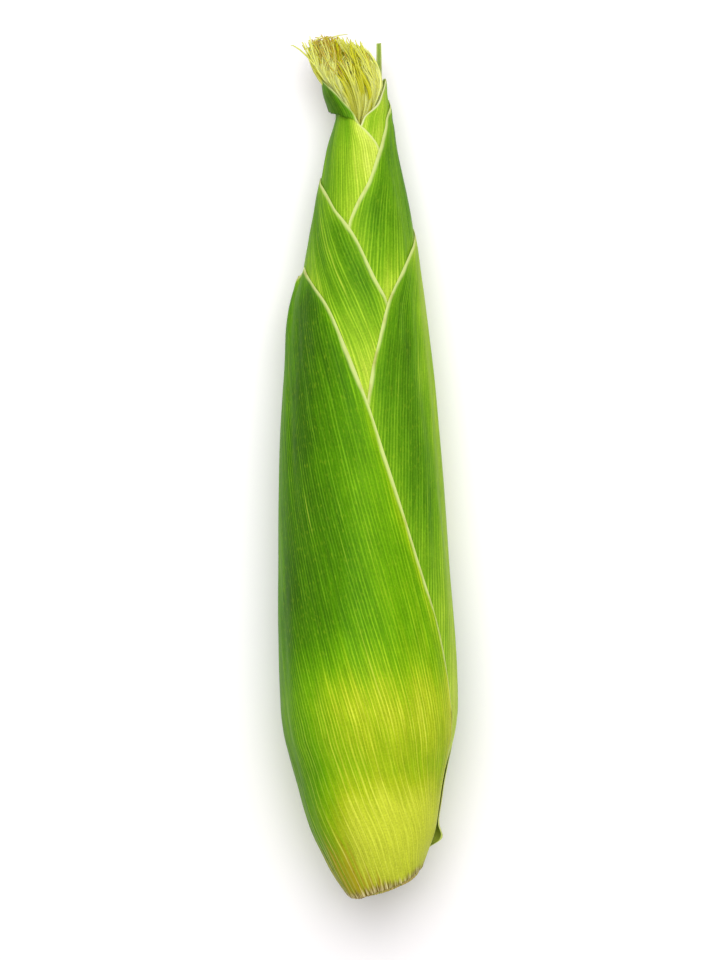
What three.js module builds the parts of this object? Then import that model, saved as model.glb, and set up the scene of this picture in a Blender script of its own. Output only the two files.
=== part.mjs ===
// An ear of sweet corn in its husk, lying on its side: eight husk leaves wrapped in turn round
// the cob, the silk that comes out of their mouth, and the cut shank that they all grow from.
// Millimetres. +Y runs from the cut butt to the silk, +Z is up, and the ear lies on z = 0.

import * as THREE from "three";

// ---- Driving dimensions ----

const SHEET = 0.3; // thickness of one husk leaf
const LAYER_PITCH = 0.8; // from one leaf's inner face to the inner face of the leaf round it
const RESTING_LAYER = 6; // the layer of the leaf that the ear lies on
const BELLY_AXIS_HEIGHT = 27.6; // height of the ear's axis over the table at BELLY_Y
const BELLY_Y = 80;
const TIP_DROP = 0.0415; // how far the axis comes down for each millimetre towards the tip

const BUTT_Y = 2; // where the cut through the shank crosses x = 0
const BUTT_SLOPE = Math.tan(THREE.MathUtils.degToRad(20)); // the cut runs up towards the right
const BUTT_LEAN = -Math.tan(THREE.MathUtils.degToRad(14)); // and out towards the top
const BUTT_RADIUS = 4.1; // bore of the husk at the cut, which the shank fills
const SHANK_TOP = 14;
const COB_BOTTOM = 14.6;
const COB_TOP = 224;
const COB_CLEARANCE = 1.2; // between the kernels and the innermost leaf
const SHANK_CLEARANCE = 0.4;

const LEAF_STEP = 14; // widest step between two columns of a leaf, in degrees
const RESTING_STEP = 8; // the same on the leaf that the ear lies on, so that its foot is smooth
const ROUND_SIDES = 24; // sides of the cob, the shank and the silk

// Rows of every leaf, so that neighbouring leaves bend at the same places and never touch.
const STATIONS = [
  9, 20, 32, 45, 62, 82, 102, 122, 138, 152, 165, 177, 188, 198, 207, 215, 223, 231, 239, 246, 252, 258, 263,
  268, 274,
];

// ---- The wrapped form that every leaf follows ----

// [y, value] points. Inside radius of the innermost leaf.
const BORE = [
  [0, BUTT_RADIUS], [9, 8.5], [22, 14.1], [41, 19.2], [56, 22.3], [75, 23.3], [106, 22.4], [132, 21.3],
  [158, 19.8], [184, 17.5], [204, 14.9], [223, 11.8], [243, 8.5], [254, 6.5], [260, 7.4], [280, 9.3],
];
// How far the ear's axis stands to the right of x = 0.
const SWAY = [
  [0, 4.6], [9, 3.1], [20, 2.3], [41, 1.3], [67, 1], [93, 0.2], [119, -0.8], [145, -1.6],
  [184, -2.1], [204, -1.9], [243, -1.4], [254, -0.8], [265, -3.3], [280, -3.7],
];

const HUSK_LEAVES = [
  // Each margin is [y, angle] points from the butt to the tip. Angles are degrees round the axis,
  // from 0 at the top over 90 at the right, and a leaf reaches from its first margin to its second.
  {
    name: "husk_leaf_back_inner", layer: 0, colour: 0x7d9b3a,
    from: [[0, 70], [150, 76], [240, 80], [258, 90], [264, 104], [267, 118], [278.5, 119]],
    to: [[0, 290], [150, 284], [236, 276], [246, 250], [256, 200], [264, 150], [268, 133], [278.5, 132.5]],
  },
  {
    name: "husk_leaf_right_inner", layer: 1, colour: 0x9dbb45,
    from: [[0, -60], [120, -45], [200, -30], [240, -16], [252.5, 0], [257.7, 37], [263, 69], [268, 104]],
    to: [[0, 200], [120, 194], [220, 188], [250, 178], [264, 150], [268, 118]],
  },
  {
    name: "husk_leaf_left_inner", layer: 2, colour: 0x7fa83a,
    from: [[0, -194], [120, -184], [200, -170], [245, -150], [262, -118], [266.5, -100]],
    to: [[0, 90], [100, 72], [180, 58], [220, 46], [243, 30.5], [252, -8.8], [259, -44], [266.5, -84]],
  },
  {
    name: "husk_leaf_right_middle", layer: 3, colour: 0x6c9c2c,
    from: [[0, -58], [80, -46], [150, -34], [217.8, -16], [233, 9.6], [244, 32.5], [253, 56], [259.5, 100]],
    to: [[0, 204], [100, 196], [180, 186], [225, 165], [250, 130], [259.5, 110]],
  },
  {
    name: "husk_leaf_left_middle", layer: 4, colour: 0x74a52a,
    from: [[0, -180], [60, -172], [130, -160], [190, -140], [222, -118], [234, -98]],
    to: [[0, 104], [60, 84], [130, 58], [160, 45], [193, 26], [205.4, 7.4], [217.8, -16], [228, -53],
      [234, -90]],
  },
  {
    name: "husk_leaf_right_outer", layer: 5, colour: 0x5f9413,
    from: [[0, -50], [60, -28], [120, -6], [161.5, 6.3], [179, 15.3], [193, 26], [201, 40], [211, 67],
      [220, 110]],
    to: [[0, 214], [60, 211], [120, 203], [170, 184], [205, 148], [220, 120]],
  },
  {
    name: "husk_leaf_back_outer", layer: RESTING_LAYER, colour: 0x5c8a20,
    from: [[0, -236], [13, -245], [19, -262], [32, -262], [46, -262], [60, -256], [95, -243], [120, -226],
      [140, -206], [160, -180], [180, -150], [194, -124], [202, -106]],
    to: [[0, -35], [60, -45], [120, -60], [170, -78], [202, -95]],
  },
  {
    name: "husk_leaf_left_outer", layer: 7, colour: 0x558b08,
    from: [[0, -86], [30, -90], [45, -98], [70, -118], [100, -132], [140, -134], [170, -124], [196, -100],
      [204.5, -80]],
    to: [[0, 104], [20, 96], [35, 92], [46, 84], [60, 69], [84, 56], [116, 35.5], [144, 17.5], [170, -2],
      [192, -29], [204.5, -72]],
  },
];

// The brush of silk: [y, x, z, half width, half height] of its outline, from inside the mouth to its end.
const SILK_SECTIONS = [
  [247, -0.9, 21, 5.4, 5.4], [255, -1.2, 20.9, 5.6, 5.6], [262, -3, 21.1, 7.2, 6.8],
  [268, -4.6, 21.9, 9, 7.2], [274, -7, 22.4, 11.3, 7], [279, -8, 22.6, 9.5, 6], [281.5, -8.2, 22.6, 6, 3.5],
];

// ---- Curves ----

// A smooth curve through [x, y] points that never swings past them: a monotone cubic.
function curveThrough(points) {
  const slopes = points.slice(1).map(([x, y], i) => (y - points[i][1]) / (x - points[i][0]));
  const tangents = points.map((_, i) => {
    const before = slopes[i - 1] ?? slopes[0];
    const after = slopes[i] ?? slopes.at(-1);
    return before * after <= 0 ? 0 : (2 * before * after) / (before + after);
  });
  return (x) => {
    const last = points.length - 2;
    const i = Math.min(last, Math.max(0, points.findIndex(([next]) => next > x) - 1));
    const k = x >= points[last][0] ? last : i;
    const [x0, y0] = points[k];
    const [x1, y1] = points[k + 1];
    const t = THREE.MathUtils.clamp((x - x0) / (x1 - x0), 0, 1);
    const bend = (x1 - x0) * t * (1 - t);
    const ease = t * t * (3 - 2 * t);
    return y0 + (y1 - y0) * ease + bend * (tangents[k] * (1 - t) - tangents[k + 1] * t);
  };
}

const bore = curveThrough(BORE);
const sway = curveThrough(SWAY);
const axisHeight = (y) => BELLY_AXIS_HEIGHT - TIP_DROP * (y - BELLY_Y);
const restingLift = RESTING_LAYER * LAYER_PITCH + SHEET;

// The point at an angle round the ear, lifted off the innermost leaf's inside. The husk is pressed
// flat where it lies on the table, each layer by the same amount.
function onHusk(degrees, y, lift) {
  const angle = THREE.MathUtils.degToRad(degrees);
  const radius = bore(y) + lift;
  const z = axisHeight(y) + radius * Math.cos(angle);
  return new THREE.Vector3(sway(y) + radius * Math.sin(angle), y, Math.max(z, restingLift - lift));
}

// Where the slanting cut at the butt meets the husk at this angle and lift.
function buttAt(degrees, lift) {
  const turn = THREE.MathUtils.degToRad(degrees);
  const radius = BUTT_RADIUS + lift;
  return BUTT_Y + BUTT_SLOPE * (sway(0) + radius * Math.sin(turn)) + BUTT_LEAN * radius * Math.cos(turn);
}

// ---- Solids ----

// A closed solid skinned over rings of points, all with the same even number of points. Each end is
// closed by a ladder of faces between the ring's first half and its second.
function skinOver(rings) {
  const count = rings[0].length;
  const points = rings.flat();
  const corner = (ring, i) => ring * count + ((i + count) % count);
  const faces = [];
  for (let ring = 0; ring < rings.length - 1; ring++) {
    for (let i = 0; i < count; i++) {
      const [a, b] = [corner(ring, i), corner(ring, i + 1)];
      const [c, d] = [corner(ring + 1, i + 1), corner(ring + 1, i)];
      const splitAtA = points[a].distanceTo(points[c]) < points[b].distanceTo(points[d]);
      faces.push(...(splitAtA ? [a, b, c, a, c, d] : [a, b, d, b, c, d]));
    }
  }
  const end = rings.length - 1;
  for (let i = 0; i < count / 2 - 1; i++) {
    faces.push(corner(0, i + 1), corner(0, i), corner(0, -1 - i));
    faces.push(corner(0, i + 1), corner(0, -1 - i), corner(0, -2 - i));
    faces.push(corner(end, i), corner(end, i + 1), corner(end, -2 - i));
    faces.push(corner(end, i), corner(end, -2 - i), corner(end, -1 - i));
  }
  const geometry = new THREE.BufferGeometry().setFromPoints(points);
  geometry.setIndex(faces);
  geometry.computeVertexNormals();
  return geometry;
}

// One husk leaf: a thin sheet that runs from the cut butt to its own tip between two margins.
function leafSolid({ layer, from, to }) {
  const lift = layer * LAYER_PITCH;
  const tip = from.at(-1)[0];
  const first = curveThrough(from);
  const second = curveThrough(to);
  const rows = [0, ...STATIONS.filter((y) => y < tip - 1), tip];
  const widest = Math.max(...rows.map((y) => second(y) - first(y)));
  const columns = Math.ceil(widest / (layer === RESTING_LAYER ? RESTING_STEP : LEAF_STEP));

  const sheetRow = (y, height) =>
    Array.from({ length: columns + 1 }, (_, i) => {
      const angle = THREE.MathUtils.lerp(first(y), second(y), i / columns);
      return onHusk(angle, y === 0 ? buttAt(angle, height) : y, height);
    });
  return skinOver(rows.map((y) => [...sheetRow(y, lift + SHEET), ...sheetRow(y, lift).reverse()]));
}

// A solid with round sections: the ring at place i of a list has the outline that ringAt gives.
function roundSolid(places, ringAt) {
  const angles = Array.from({ length: ROUND_SIDES }, (_, i) => (360 * i) / ROUND_SIDES);
  return skinOver(places.map((place) => angles.map((angle) => ringAt(place, angle))));
}

// The cut stub of stalk that every leaf and the cob grow from. It fills the husk's bore at the butt.
function shankSolid() {
  return roundSolid([0, 9, SHANK_TOP], (y, angle) =>
    onHusk(angle, y === 0 ? buttAt(angle, -SHANK_CLEARANCE) : y, -SHANK_CLEARANCE),
  );
}

// The cob with its kernels, which narrows to a blunt nose under the silk.
function cobSolid() {
  const inside = STATIONS.filter((y) => y > COB_BOTTOM && y < COB_TOP);
  return roundSolid([COB_BOTTOM, ...inside, COB_TOP], (y, angle) => {
    const nose = THREE.MathUtils.smoothstep(y, STATIONS.at(10), COB_TOP);
    return onHusk(angle, y, -COB_CLEARANCE - 0.75 * nose * bore(y));
  });
}

function silkSolid() {
  return roundSolid(SILK_SECTIONS, ([y, x, z, halfWidth, halfHeight], degrees) => {
    const angle = THREE.MathUtils.degToRad(degrees);
    return new THREE.Vector3(x + halfWidth * Math.sin(angle), y, z + halfHeight * Math.cos(angle));
  });
}

// ---- The ear, put together ----

const ear = new THREE.Group();

function addPiece(name, geometry, colour, roughness) {
  const material = new THREE.MeshStandardMaterial({ color: colour, roughness, metalness: 0 });
  const piece = new THREE.Mesh(geometry, material);
  piece.name = name;
  ear.add(piece);
}

addPiece("shank", shankSolid(), 0xcbb45a, 0.8);
addPiece("cob", cobSolid(), 0xf0cf5a, 0.45);
for (const leaf of HUSK_LEAVES) addPiece(leaf.name, leafSolid(leaf), leaf.colour, 0.5);
addPiece("silk_tuft", silkSolid(), 0xd2d866, 0.45);

// The origin is the middle of the box round the ear, on the table.
const box = new THREE.Box3().setFromObject(ear, true);
const middle = box.getCenter(new THREE.Vector3());
ear.children.forEach((piece) => piece.position.set(-middle.x, -middle.y, -box.min.z));

export default ear;
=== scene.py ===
"""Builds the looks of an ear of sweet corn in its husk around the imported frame.

The ear lies on its side. Its own coordinates are millimetres: y runs from the cut butt to the silk,
and an angle round the ear is counted in degrees from the top, positive towards +X.
"""

import logging
import math
from dataclasses import dataclass, field
from enum import Enum
from typing import Any

import bpy
import numpy as np
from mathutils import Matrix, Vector


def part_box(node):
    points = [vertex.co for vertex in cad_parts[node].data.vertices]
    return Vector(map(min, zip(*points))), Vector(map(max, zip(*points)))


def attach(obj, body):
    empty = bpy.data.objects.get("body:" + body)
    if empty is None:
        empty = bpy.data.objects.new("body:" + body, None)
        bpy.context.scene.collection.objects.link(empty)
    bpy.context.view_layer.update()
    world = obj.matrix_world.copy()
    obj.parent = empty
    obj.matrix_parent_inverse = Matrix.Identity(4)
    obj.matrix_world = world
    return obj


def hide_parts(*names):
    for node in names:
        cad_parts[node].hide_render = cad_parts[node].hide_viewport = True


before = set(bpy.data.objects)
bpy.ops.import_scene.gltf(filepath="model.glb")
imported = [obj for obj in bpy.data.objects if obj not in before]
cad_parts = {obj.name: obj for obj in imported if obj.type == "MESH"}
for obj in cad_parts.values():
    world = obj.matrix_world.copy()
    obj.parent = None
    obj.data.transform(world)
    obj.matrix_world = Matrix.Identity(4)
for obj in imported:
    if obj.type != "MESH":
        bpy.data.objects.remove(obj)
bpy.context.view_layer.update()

LOG = logging.getLogger("corn")
MM = 0.001
Array = np.ndarray


# ---------------------------------------------------------------------------
# Small tools
# ---------------------------------------------------------------------------


def linear(colour: str, alpha: float = 1.0) -> tuple[float, float, float, float]:
    """Turns an sRGB hex colour into a linear one.

    Args:
        colour: Six hex digits, such as "5f920a".
        alpha: The fourth value.

    Returns:
        Linear red, green and blue, and alpha.
    """
    parts = (int(colour[i:i + 2], 16) / 255 for i in (0, 2, 4))
    return *(c / 12.92 if c <= 0.04045 else ((c + 0.055) / 1.055) ** 2.4 for c in parts), alpha


def smoothstep(low: float | Array, high: float | Array, x: float | Array) -> Array:
    """Rises smoothly from 0 at low to 1 at high.

    Args:
        low: Where the rise starts.
        high: Where it ends.
        x: Where to read it.

    Returns:
        Values from 0 to 1.
    """
    t = np.clip((np.asarray(x, float) - low) / (high - low), 0, 1)
    return t * t * (3 - 2 * t)


@dataclass(frozen=True)
class Curve:
    """A smooth curve through points that never swings past them, a monotone cubic.

    Attributes:
        points: Pairs of place and value, in order of place.
    """

    points: tuple[tuple[float, float], ...]

    def __call__(self, at: float | Array) -> Array:
        """Reads the curve, which is level outside its points.

        Args:
            at: One place or many.

        Returns:
            The values there.
        """
        places, values = np.array(self.points, float).T
        slopes = np.diff(values) / np.diff(places)
        before = np.concatenate([slopes[:1], slopes])
        after = np.concatenate([slopes, slopes[-1:]])
        same_way = before * after > 0
        total = np.where(same_way, before + after, 1)
        tangents = np.where(same_way, 2 * before * after / total, 0)
        x = np.clip(np.asarray(at, float), places[0], places[-1])
        k = np.clip(np.searchsorted(places, x, side="right") - 1, 0, len(slopes) - 1)
        step = places[k + 1] - places[k]
        t = (x - places[k]) / step
        ease = t * t * (3 - 2 * t)
        bend = step * t * (1 - t) * (tangents[k] * (1 - t) - tangents[k + 1] * t)
        return values[k] + (values[k + 1] - values[k]) * ease + bend


def ripple(rng: np.random.Generator, across: Array, along: Array, widths: tuple[float, ...],
           length: float) -> Array:
    """A soft uneven ripple whose crests run along a leaf or a cob.

    Args:
        rng: The source of its phases.
        across: The coordinate across the crests.
        along: The coordinate along the crests, in millimetres.
        widths: The widths of its waves, in units of across.
        length: How far a crest runs before it wanders, in millimetres.

    Returns:
        Values of about -1 to 1.
    """
    total = np.zeros(np.broadcast(across, along).shape)
    for width in widths:
        phase, wander, strength = rng.uniform(0, 2 * np.pi, 3)
        swing = 1.4 * np.sin(along / length + wander) + 0.8 * np.sin(2.3 * along / length + strength)
        total += np.sin(2 * np.pi * across / width + phase + swing)
    return total / len(widths)


# ---------------------------------------------------------------------------
# Meshes
# ---------------------------------------------------------------------------


def mesh_object(name: str, points: Array, faces: list[Array],
                attributes: dict[str, Array]) -> bpy.types.Object:
    """Makes a smooth-shaded mesh object from arrays.

    Args:
        name: The object's name.
        points: Corners in metres, one row each.
        faces: Arrays of corner numbers, one row for each face.
        attributes: Float values for each corner, by name.

    Returns:
        The new object, linked to the scene.
    """
    mesh = bpy.data.meshes.new(name)
    mesh.vertices.add(len(points))
    mesh.vertices.foreach_set("co", np.ascontiguousarray(points, np.float32).ravel())
    corners = np.concatenate([f.ravel() for f in faces]).astype(np.int32)
    sizes = np.concatenate([np.full(len(f), f.shape[1]) for f in faces])
    starts = (np.cumsum(sizes) - sizes).astype(np.int32)
    mesh.loops.add(len(corners))
    mesh.loops.foreach_set("vertex_index", corners)
    mesh.polygons.add(len(sizes))
    mesh.polygons.foreach_set("loop_start", starts)
    mesh.update(calc_edges=True)
    mesh.validate()
    for label, values in attributes.items():
        layer = mesh.attributes.new(label, "FLOAT", "POINT")
        layer.data.foreach_set("value", np.ascontiguousarray(values, np.float32).ravel())
    mesh.shade_smooth()
    made = bpy.data.objects.new(name, mesh)
    bpy.context.scene.collection.objects.link(made)
    return made


def grid_faces(rows: int, columns: int, first: int = 0, closed: bool = False) -> Array:
    """The quads of a grid of corners that is counted row by row.

    Args:
        rows: How many rows of corners.
        columns: How many corners in a row.
        first: The number of the first corner.
        closed: Whether the last column joins the first.

    Returns:
        Corner numbers, four to a face.
    """
    i, j = np.meshgrid(np.arange(rows - 1), np.arange(columns if closed else columns - 1), indexing="ij")
    k = (j + 1) % columns
    quads = np.stack([i * columns + j, i * columns + k, (i + 1) * columns + k, (i + 1) * columns + j], -1)
    return first + quads.reshape(-1, 4)


def border(rows: int, columns: int) -> Array:
    """The corners round the edge of a grid, in order, starting along its first row.

    Args:
        rows: How many rows of corners.
        columns: How many corners in a row.

    Returns:
        Corner numbers.
    """
    top = np.arange(columns)
    right = np.arange(1, rows) * columns + columns - 1
    bottom = (rows - 1) * columns + np.arange(columns - 2, -1, -1)
    left = np.arange(rows - 2, 0, -1) * columns
    return np.concatenate([top, right, bottom, left])


def capped_faces(rows: int, columns: int) -> list[Array]:
    """The faces of a closed round form: its wall, and a fan at each end to a corner of its own.

    Args:
        rows: How many rings of corners.
        columns: How many corners in a ring.

    Returns:
        Corner numbers of the wall and of the two fans. The fans' own corners come after the rings.
    """
    count = rows * columns
    ring = np.arange(columns)
    after = (ring + 1) % columns
    return [
        grid_faces(rows, columns, closed=True),
        np.stack([after, ring, np.full(columns, count)], 1),
        np.stack([count - columns + ring, count - columns + after, np.full(columns, count + 1)], 1),
    ]


# ---------------------------------------------------------------------------
# The wrapped form of the husk
# ---------------------------------------------------------------------------


@dataclass(frozen=True)
class HuskForm:
    """The outside shape of the wrapped ear, in its own coordinates.

    Attributes:
        girth: Radius of the outside at each height along the ear.
        sway: How far the axis stands to the right of x = 0.
        belly_height: Height of the axis over the table at belly_y.
        belly_y: Where the belly is.
        tip_drop: How far the axis comes down for each millimetre towards the tip.
        butt_y: Where the cut through the shank crosses x = 0.
        butt_slope: How far the cut runs up towards the right, for each millimetre.
        butt_lean: How far the cut runs up towards the top, for each millimetre.
        ridges: Lengthwise ridges, as angle, width in degrees, height, and where each starts and ends.
        swells: Swells and dips, as angle, width in degrees, place along the ear, length and height.
        fade: Length over which a ridge rises and dies away.
        softness: How gently the underside turns into the strip that is pressed flat.
    """

    girth: Curve = Curve((
        (-4, 7.8), (0, 9.9), (8, 13.9), (14, 16.3), (22, 19.8), (30, 22.1), (38, 23.9), (46, 25.8),
        (54, 27.6), (62, 28.4), (76, 28.6), (90, 28.4), (106, 27.7), (132, 26.7), (158, 25.1), (184, 22.4),
        (204, 19.1), (223, 15.6), (243, 11.3), (250, 9.8), (254, 8.9), (259, 9.2), (268, 9.5), (282, 9.6)))
    sway: Curve = Curve((
        (-4, 5.5), (0, 4.6), (8, 3.1), (14, 2.4), (22, 2), (34, 1.3), (46, 1), (60, 0.95), (76, 0.45),
        (106, -0.7), (132, -1.6), (158, -2.2), (184, -2.4), (206, -1.7), (223, -1.1), (243, -1.4),
        (254, -0.9), (262, -2.6), (280, -3.6)))
    belly_height: float = 27.6
    belly_y: float = 80.0
    tip_drop: float = 0.0415
    butt_y: float = 3.1
    butt_slope: float = math.tan(math.radians(16.7))
    butt_lean: float = -math.tan(math.radians(12))
    ridges: tuple[tuple[float, float, float, float, float], ...] = (
        (-54, 9, 0.5, 25, 190), (50, 5, 0.25, 90, 215), (65, 6, 0.35, 70, 225), (80, 5, 0.2, 60, 200),
        (88, 30, 0.45, 30, 225), (20, 9, 0.2, 20, 120), (-14, 10, 0.18, 30, 170), (-110, 9, 0.4, 20, 190),
        (130, 10, 0.4, 40, 210), (-140, 9, 0.4, 30, 200))
    swells: tuple[tuple[float, float, float, float, float], ...] = (
        (-8, 42, 64, 11, 0.55), (0, 45, 44, 8, -0.6), (-30, 40, 25, 9, 0.35))
    fade: float = 30.0
    softness: float = 0.25

    def axis_height(self, y: Array) -> Array:
        """Height of the ear's axis over the table."""
        return self.belly_height - self.tip_drop * (y - self.belly_y)

    def radius(self, angle: Array, y: Array) -> Array:
        """Radius of the outside, with its lengthwise ridges.

        Args:
            angle: Degrees round the ear.
            y: Height along the ear.

        Returns:
            The radius in millimetres.
        """
        total = self.girth(y)
        for middle, width, height, start, end in self.ridges:
            off = (angle - middle + 180) % 360 - 180
            reach = smoothstep(start, start + self.fade, y) * (1 - smoothstep(end - self.fade, end, y))
            total = total + height * reach * np.exp(-(off / width) ** 2)
        for middle, width, place, length, height in self.swells:
            off = (angle - middle + 180) % 360 - 180
            total = total + height * np.exp(-(off / width) ** 2 - ((y - place) / length) ** 2)
        return total

    def butt_cut(self, angle: Array, radius: Array) -> Array:
        """Height along the ear of the cut through its butt.

        Args:
            angle: Degrees round the ear.
            radius: Distance from the axis.

        Returns:
            The height of the cut there.
        """
        turn = np.radians(angle)
        across = self.sway(0.0) + radius * np.sin(turn)
        return self.butt_y + self.butt_slope * across + self.butt_lean * radius * np.cos(turn)

    def point(self, angle: Array, y: Array, depth: Array, over: Array) -> Array:
        """A point in the husk. Where the ear lies on the table, the husk is pressed flat.

        Args:
            angle: Degrees round the ear.
            y: Height along the ear.
            depth: Depth under the outside shape, negative for what stands out of it.
            over: Thickness of husk that lies over the point.

        Returns:
            Points in millimetres, three values each.
        """
        turn = np.radians(angle)
        radius = self.radius(angle, y) - depth
        x = self.sway(y) + radius * np.sin(turn)
        z = self.axis_height(y) + radius * np.cos(turn)
        room = z - over
        clear = 20 * self.softness
        eased = self.softness * np.logaddexp(0, np.minimum(room, clear) / self.softness)
        z = over + np.where(room > clear, room, eased)
        return np.stack([x, y + np.zeros_like(z), z], -1)


FORM = HuskForm()
# About where the cut is, to start from.
NEAR_CUT = 3.0


@dataclass
class Wrapping:
    """How thick the husk is so far, over a map of angle and height, as the leaves are laid on in turn.

    Attributes:
        angle_step: Degrees between columns of the map.
        y_step: Millimetres between its rows.
        low: Its first height.
        high: Its last height.
        clearance: Air between two leaves, which their ribs share.
        bridge: How wide a step a leaf bridges, in degrees and in millimetres along the ear.
        bend: How gently it does so, in the same units.
        evening: Reach of the mean that depths are counted from, in the same units.
    """

    angle_step: float = 0.5
    y_step: float = 0.5
    low: float = -6.0
    high: float = 290.0
    clearance: float = 0.12
    bridge: tuple[float, float] = (5.0, 2.0)
    bend: tuple[float, float] = (2.5, 1.0)
    evening: tuple[float, float] = (22.0, 12.0)

    def __post_init__(self) -> None:
        """Starts with a bare bore."""
        self.columns = round(360 / self.angle_step)
        self.rows = round((self.high - self.low) / self.y_step) + 1
        self.angles, self.heights = np.meshgrid(
            np.arange(self.columns) * self.angle_step, self.low + np.arange(self.rows) * self.y_step)
        self.outside = np.zeros((self.rows, self.columns))
        self.masks: list[Array] = []
        self.settled = self.outside

    def blurred(self, values: Array, turns: float, rise: float, times: int = 2) -> Array:
        """Blurs a map.

        Args:
            values: The map.
            turns: Half width of the blur in degrees.
            rise: Half width in millimetres along the ear.
            times: How many times a box blur is run.

        Returns:
            The blurred map.
        """
        across, up = max(1, round(turns / self.angle_step)), max(1, round(rise / self.y_step))
        for _ in range(times):
            wide = np.concatenate([values[:, -across - 1:], values, values[:, :across]], 1)
            total = np.cumsum(wide, 1)
            values = (total[:, 2 * across + 1:] - total[:, :-2 * across - 1]) / (2 * across + 1)
            tall = np.pad(values, ((up + 1, up), (0, 0)), mode="edge")
            total = np.cumsum(tall, 0)
            values = (total[2 * up + 1:] - total[:-2 * up - 1]) / (2 * up + 1)
        return values

    def widened(self, values: Array, turns: float, rise: float) -> Array:
        """The highest value of a map within reach of each place.

        Args:
            values: The map.
            turns: The reach in degrees.
            rise: The reach in millimetres along the ear.

        Returns:
            The widened map.
        """
        across, up = max(1, round(turns / self.angle_step)), max(1, round(rise / self.y_step))
        highest = values
        for shift in range(-across, across + 1):
            highest = np.maximum(highest, np.roll(values, shift, 1))
        values = highest
        for shift in range(1, up + 1):
            highest[shift:] = np.maximum(highest[shift:], values[:-shift])
            highest[:-shift] = np.maximum(highest[:-shift], values[shift:])
        return highest

    def seat(self) -> Array:
        """The inside of a leaf laid over what is there now: it bridges small steps."""
        reach = self.widened(self.outside.copy(), *self.bridge)
        return self.blurred(reach, *self.bend) + self.clearance

    def lay(self, mask: Array, inside: Array, thickness: Array) -> None:
        """Adds a leaf.

        Args:
            mask: Where the leaf is.
            inside: Height of its inner face over the bore.
            thickness: How thick it is.
        """
        self.outside = np.where(mask, inside + thickness, self.outside)
        self.masks.append(mask)

    def settle(self) -> None:
        """Works out the mean thickness once every leaf is laid, from which depths are counted."""
        self.settled = self.blurred(self.outside, *self.evening, times=3)

    def read(self, values: Array, angle: Array, y: Array) -> Array:
        """Reads a map between its places.

        Args:
            values: The map.
            angle: Degrees round the ear.
            y: Height along the ear.

        Returns:
            The values there.
        """
        column = (np.asarray(angle, float) / self.angle_step) % self.columns
        row = np.clip((np.asarray(y, float) - self.low) / self.y_step, 0, self.rows - 1.001)
        j, i = np.floor(column).astype(int) % self.columns, np.floor(row).astype(int)
        u, v = column - np.floor(column), row - i
        k = (j + 1) % self.columns
        near = values[i, j] * (1 - u) + values[i, k] * u
        far = values[i + 1, j] * (1 - u) + values[i + 1, k] * u
        return near * (1 - v) + far * v


# ---------------------------------------------------------------------------
# Materials
# ---------------------------------------------------------------------------


class Graph:
    """The node graph of one material."""

    def __init__(self, name: str) -> None:
        """Starts an empty graph.

        Args:
            name: The material's name.
        """
        self.material = bpy.data.materials.new(name)
        self.material.use_nodes = True
        self.tree = self.material.node_tree
        self.tree.nodes.clear()

    def add(self, kind: str, settings: dict[str, Any] | None = None, **links: Any) -> bpy.types.Node:
        """Adds a node.

        Args:
            kind: The node's type name without "ShaderNode".
            settings: Properties of the node to set.
            links: For each input, by its name with spaces as underscores or by its number as _0, _1 and so
                on: a value, an output socket, or a node whose first output is used.

        Returns:
            The new node.
        """
        node = self.tree.nodes.new("ShaderNode" + kind)
        for key, value in (settings or {}).items():
            setattr(node, key, value)
        for key, value in links.items():
            socket = node.inputs[int(key[1:])] if key[0] == "_" else node.inputs[key.replace("_", " ")]
            if isinstance(value, bpy.types.Node):
                value = value.outputs[0]
            if isinstance(value, bpy.types.NodeSocket):
                self.tree.links.new(value, socket)
            else:
                socket.default_value = value
        return node


PLUS = {"operation": "ADD"}
TIMES = {"operation": "MULTIPLY"}
AFTER_TIMES = {"operation": "MULTIPLY_ADD"}
SMOOTH = {"interpolation_type": "SMOOTHSTEP"}
COLOUR = {"data_type": "RGBA"}


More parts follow.
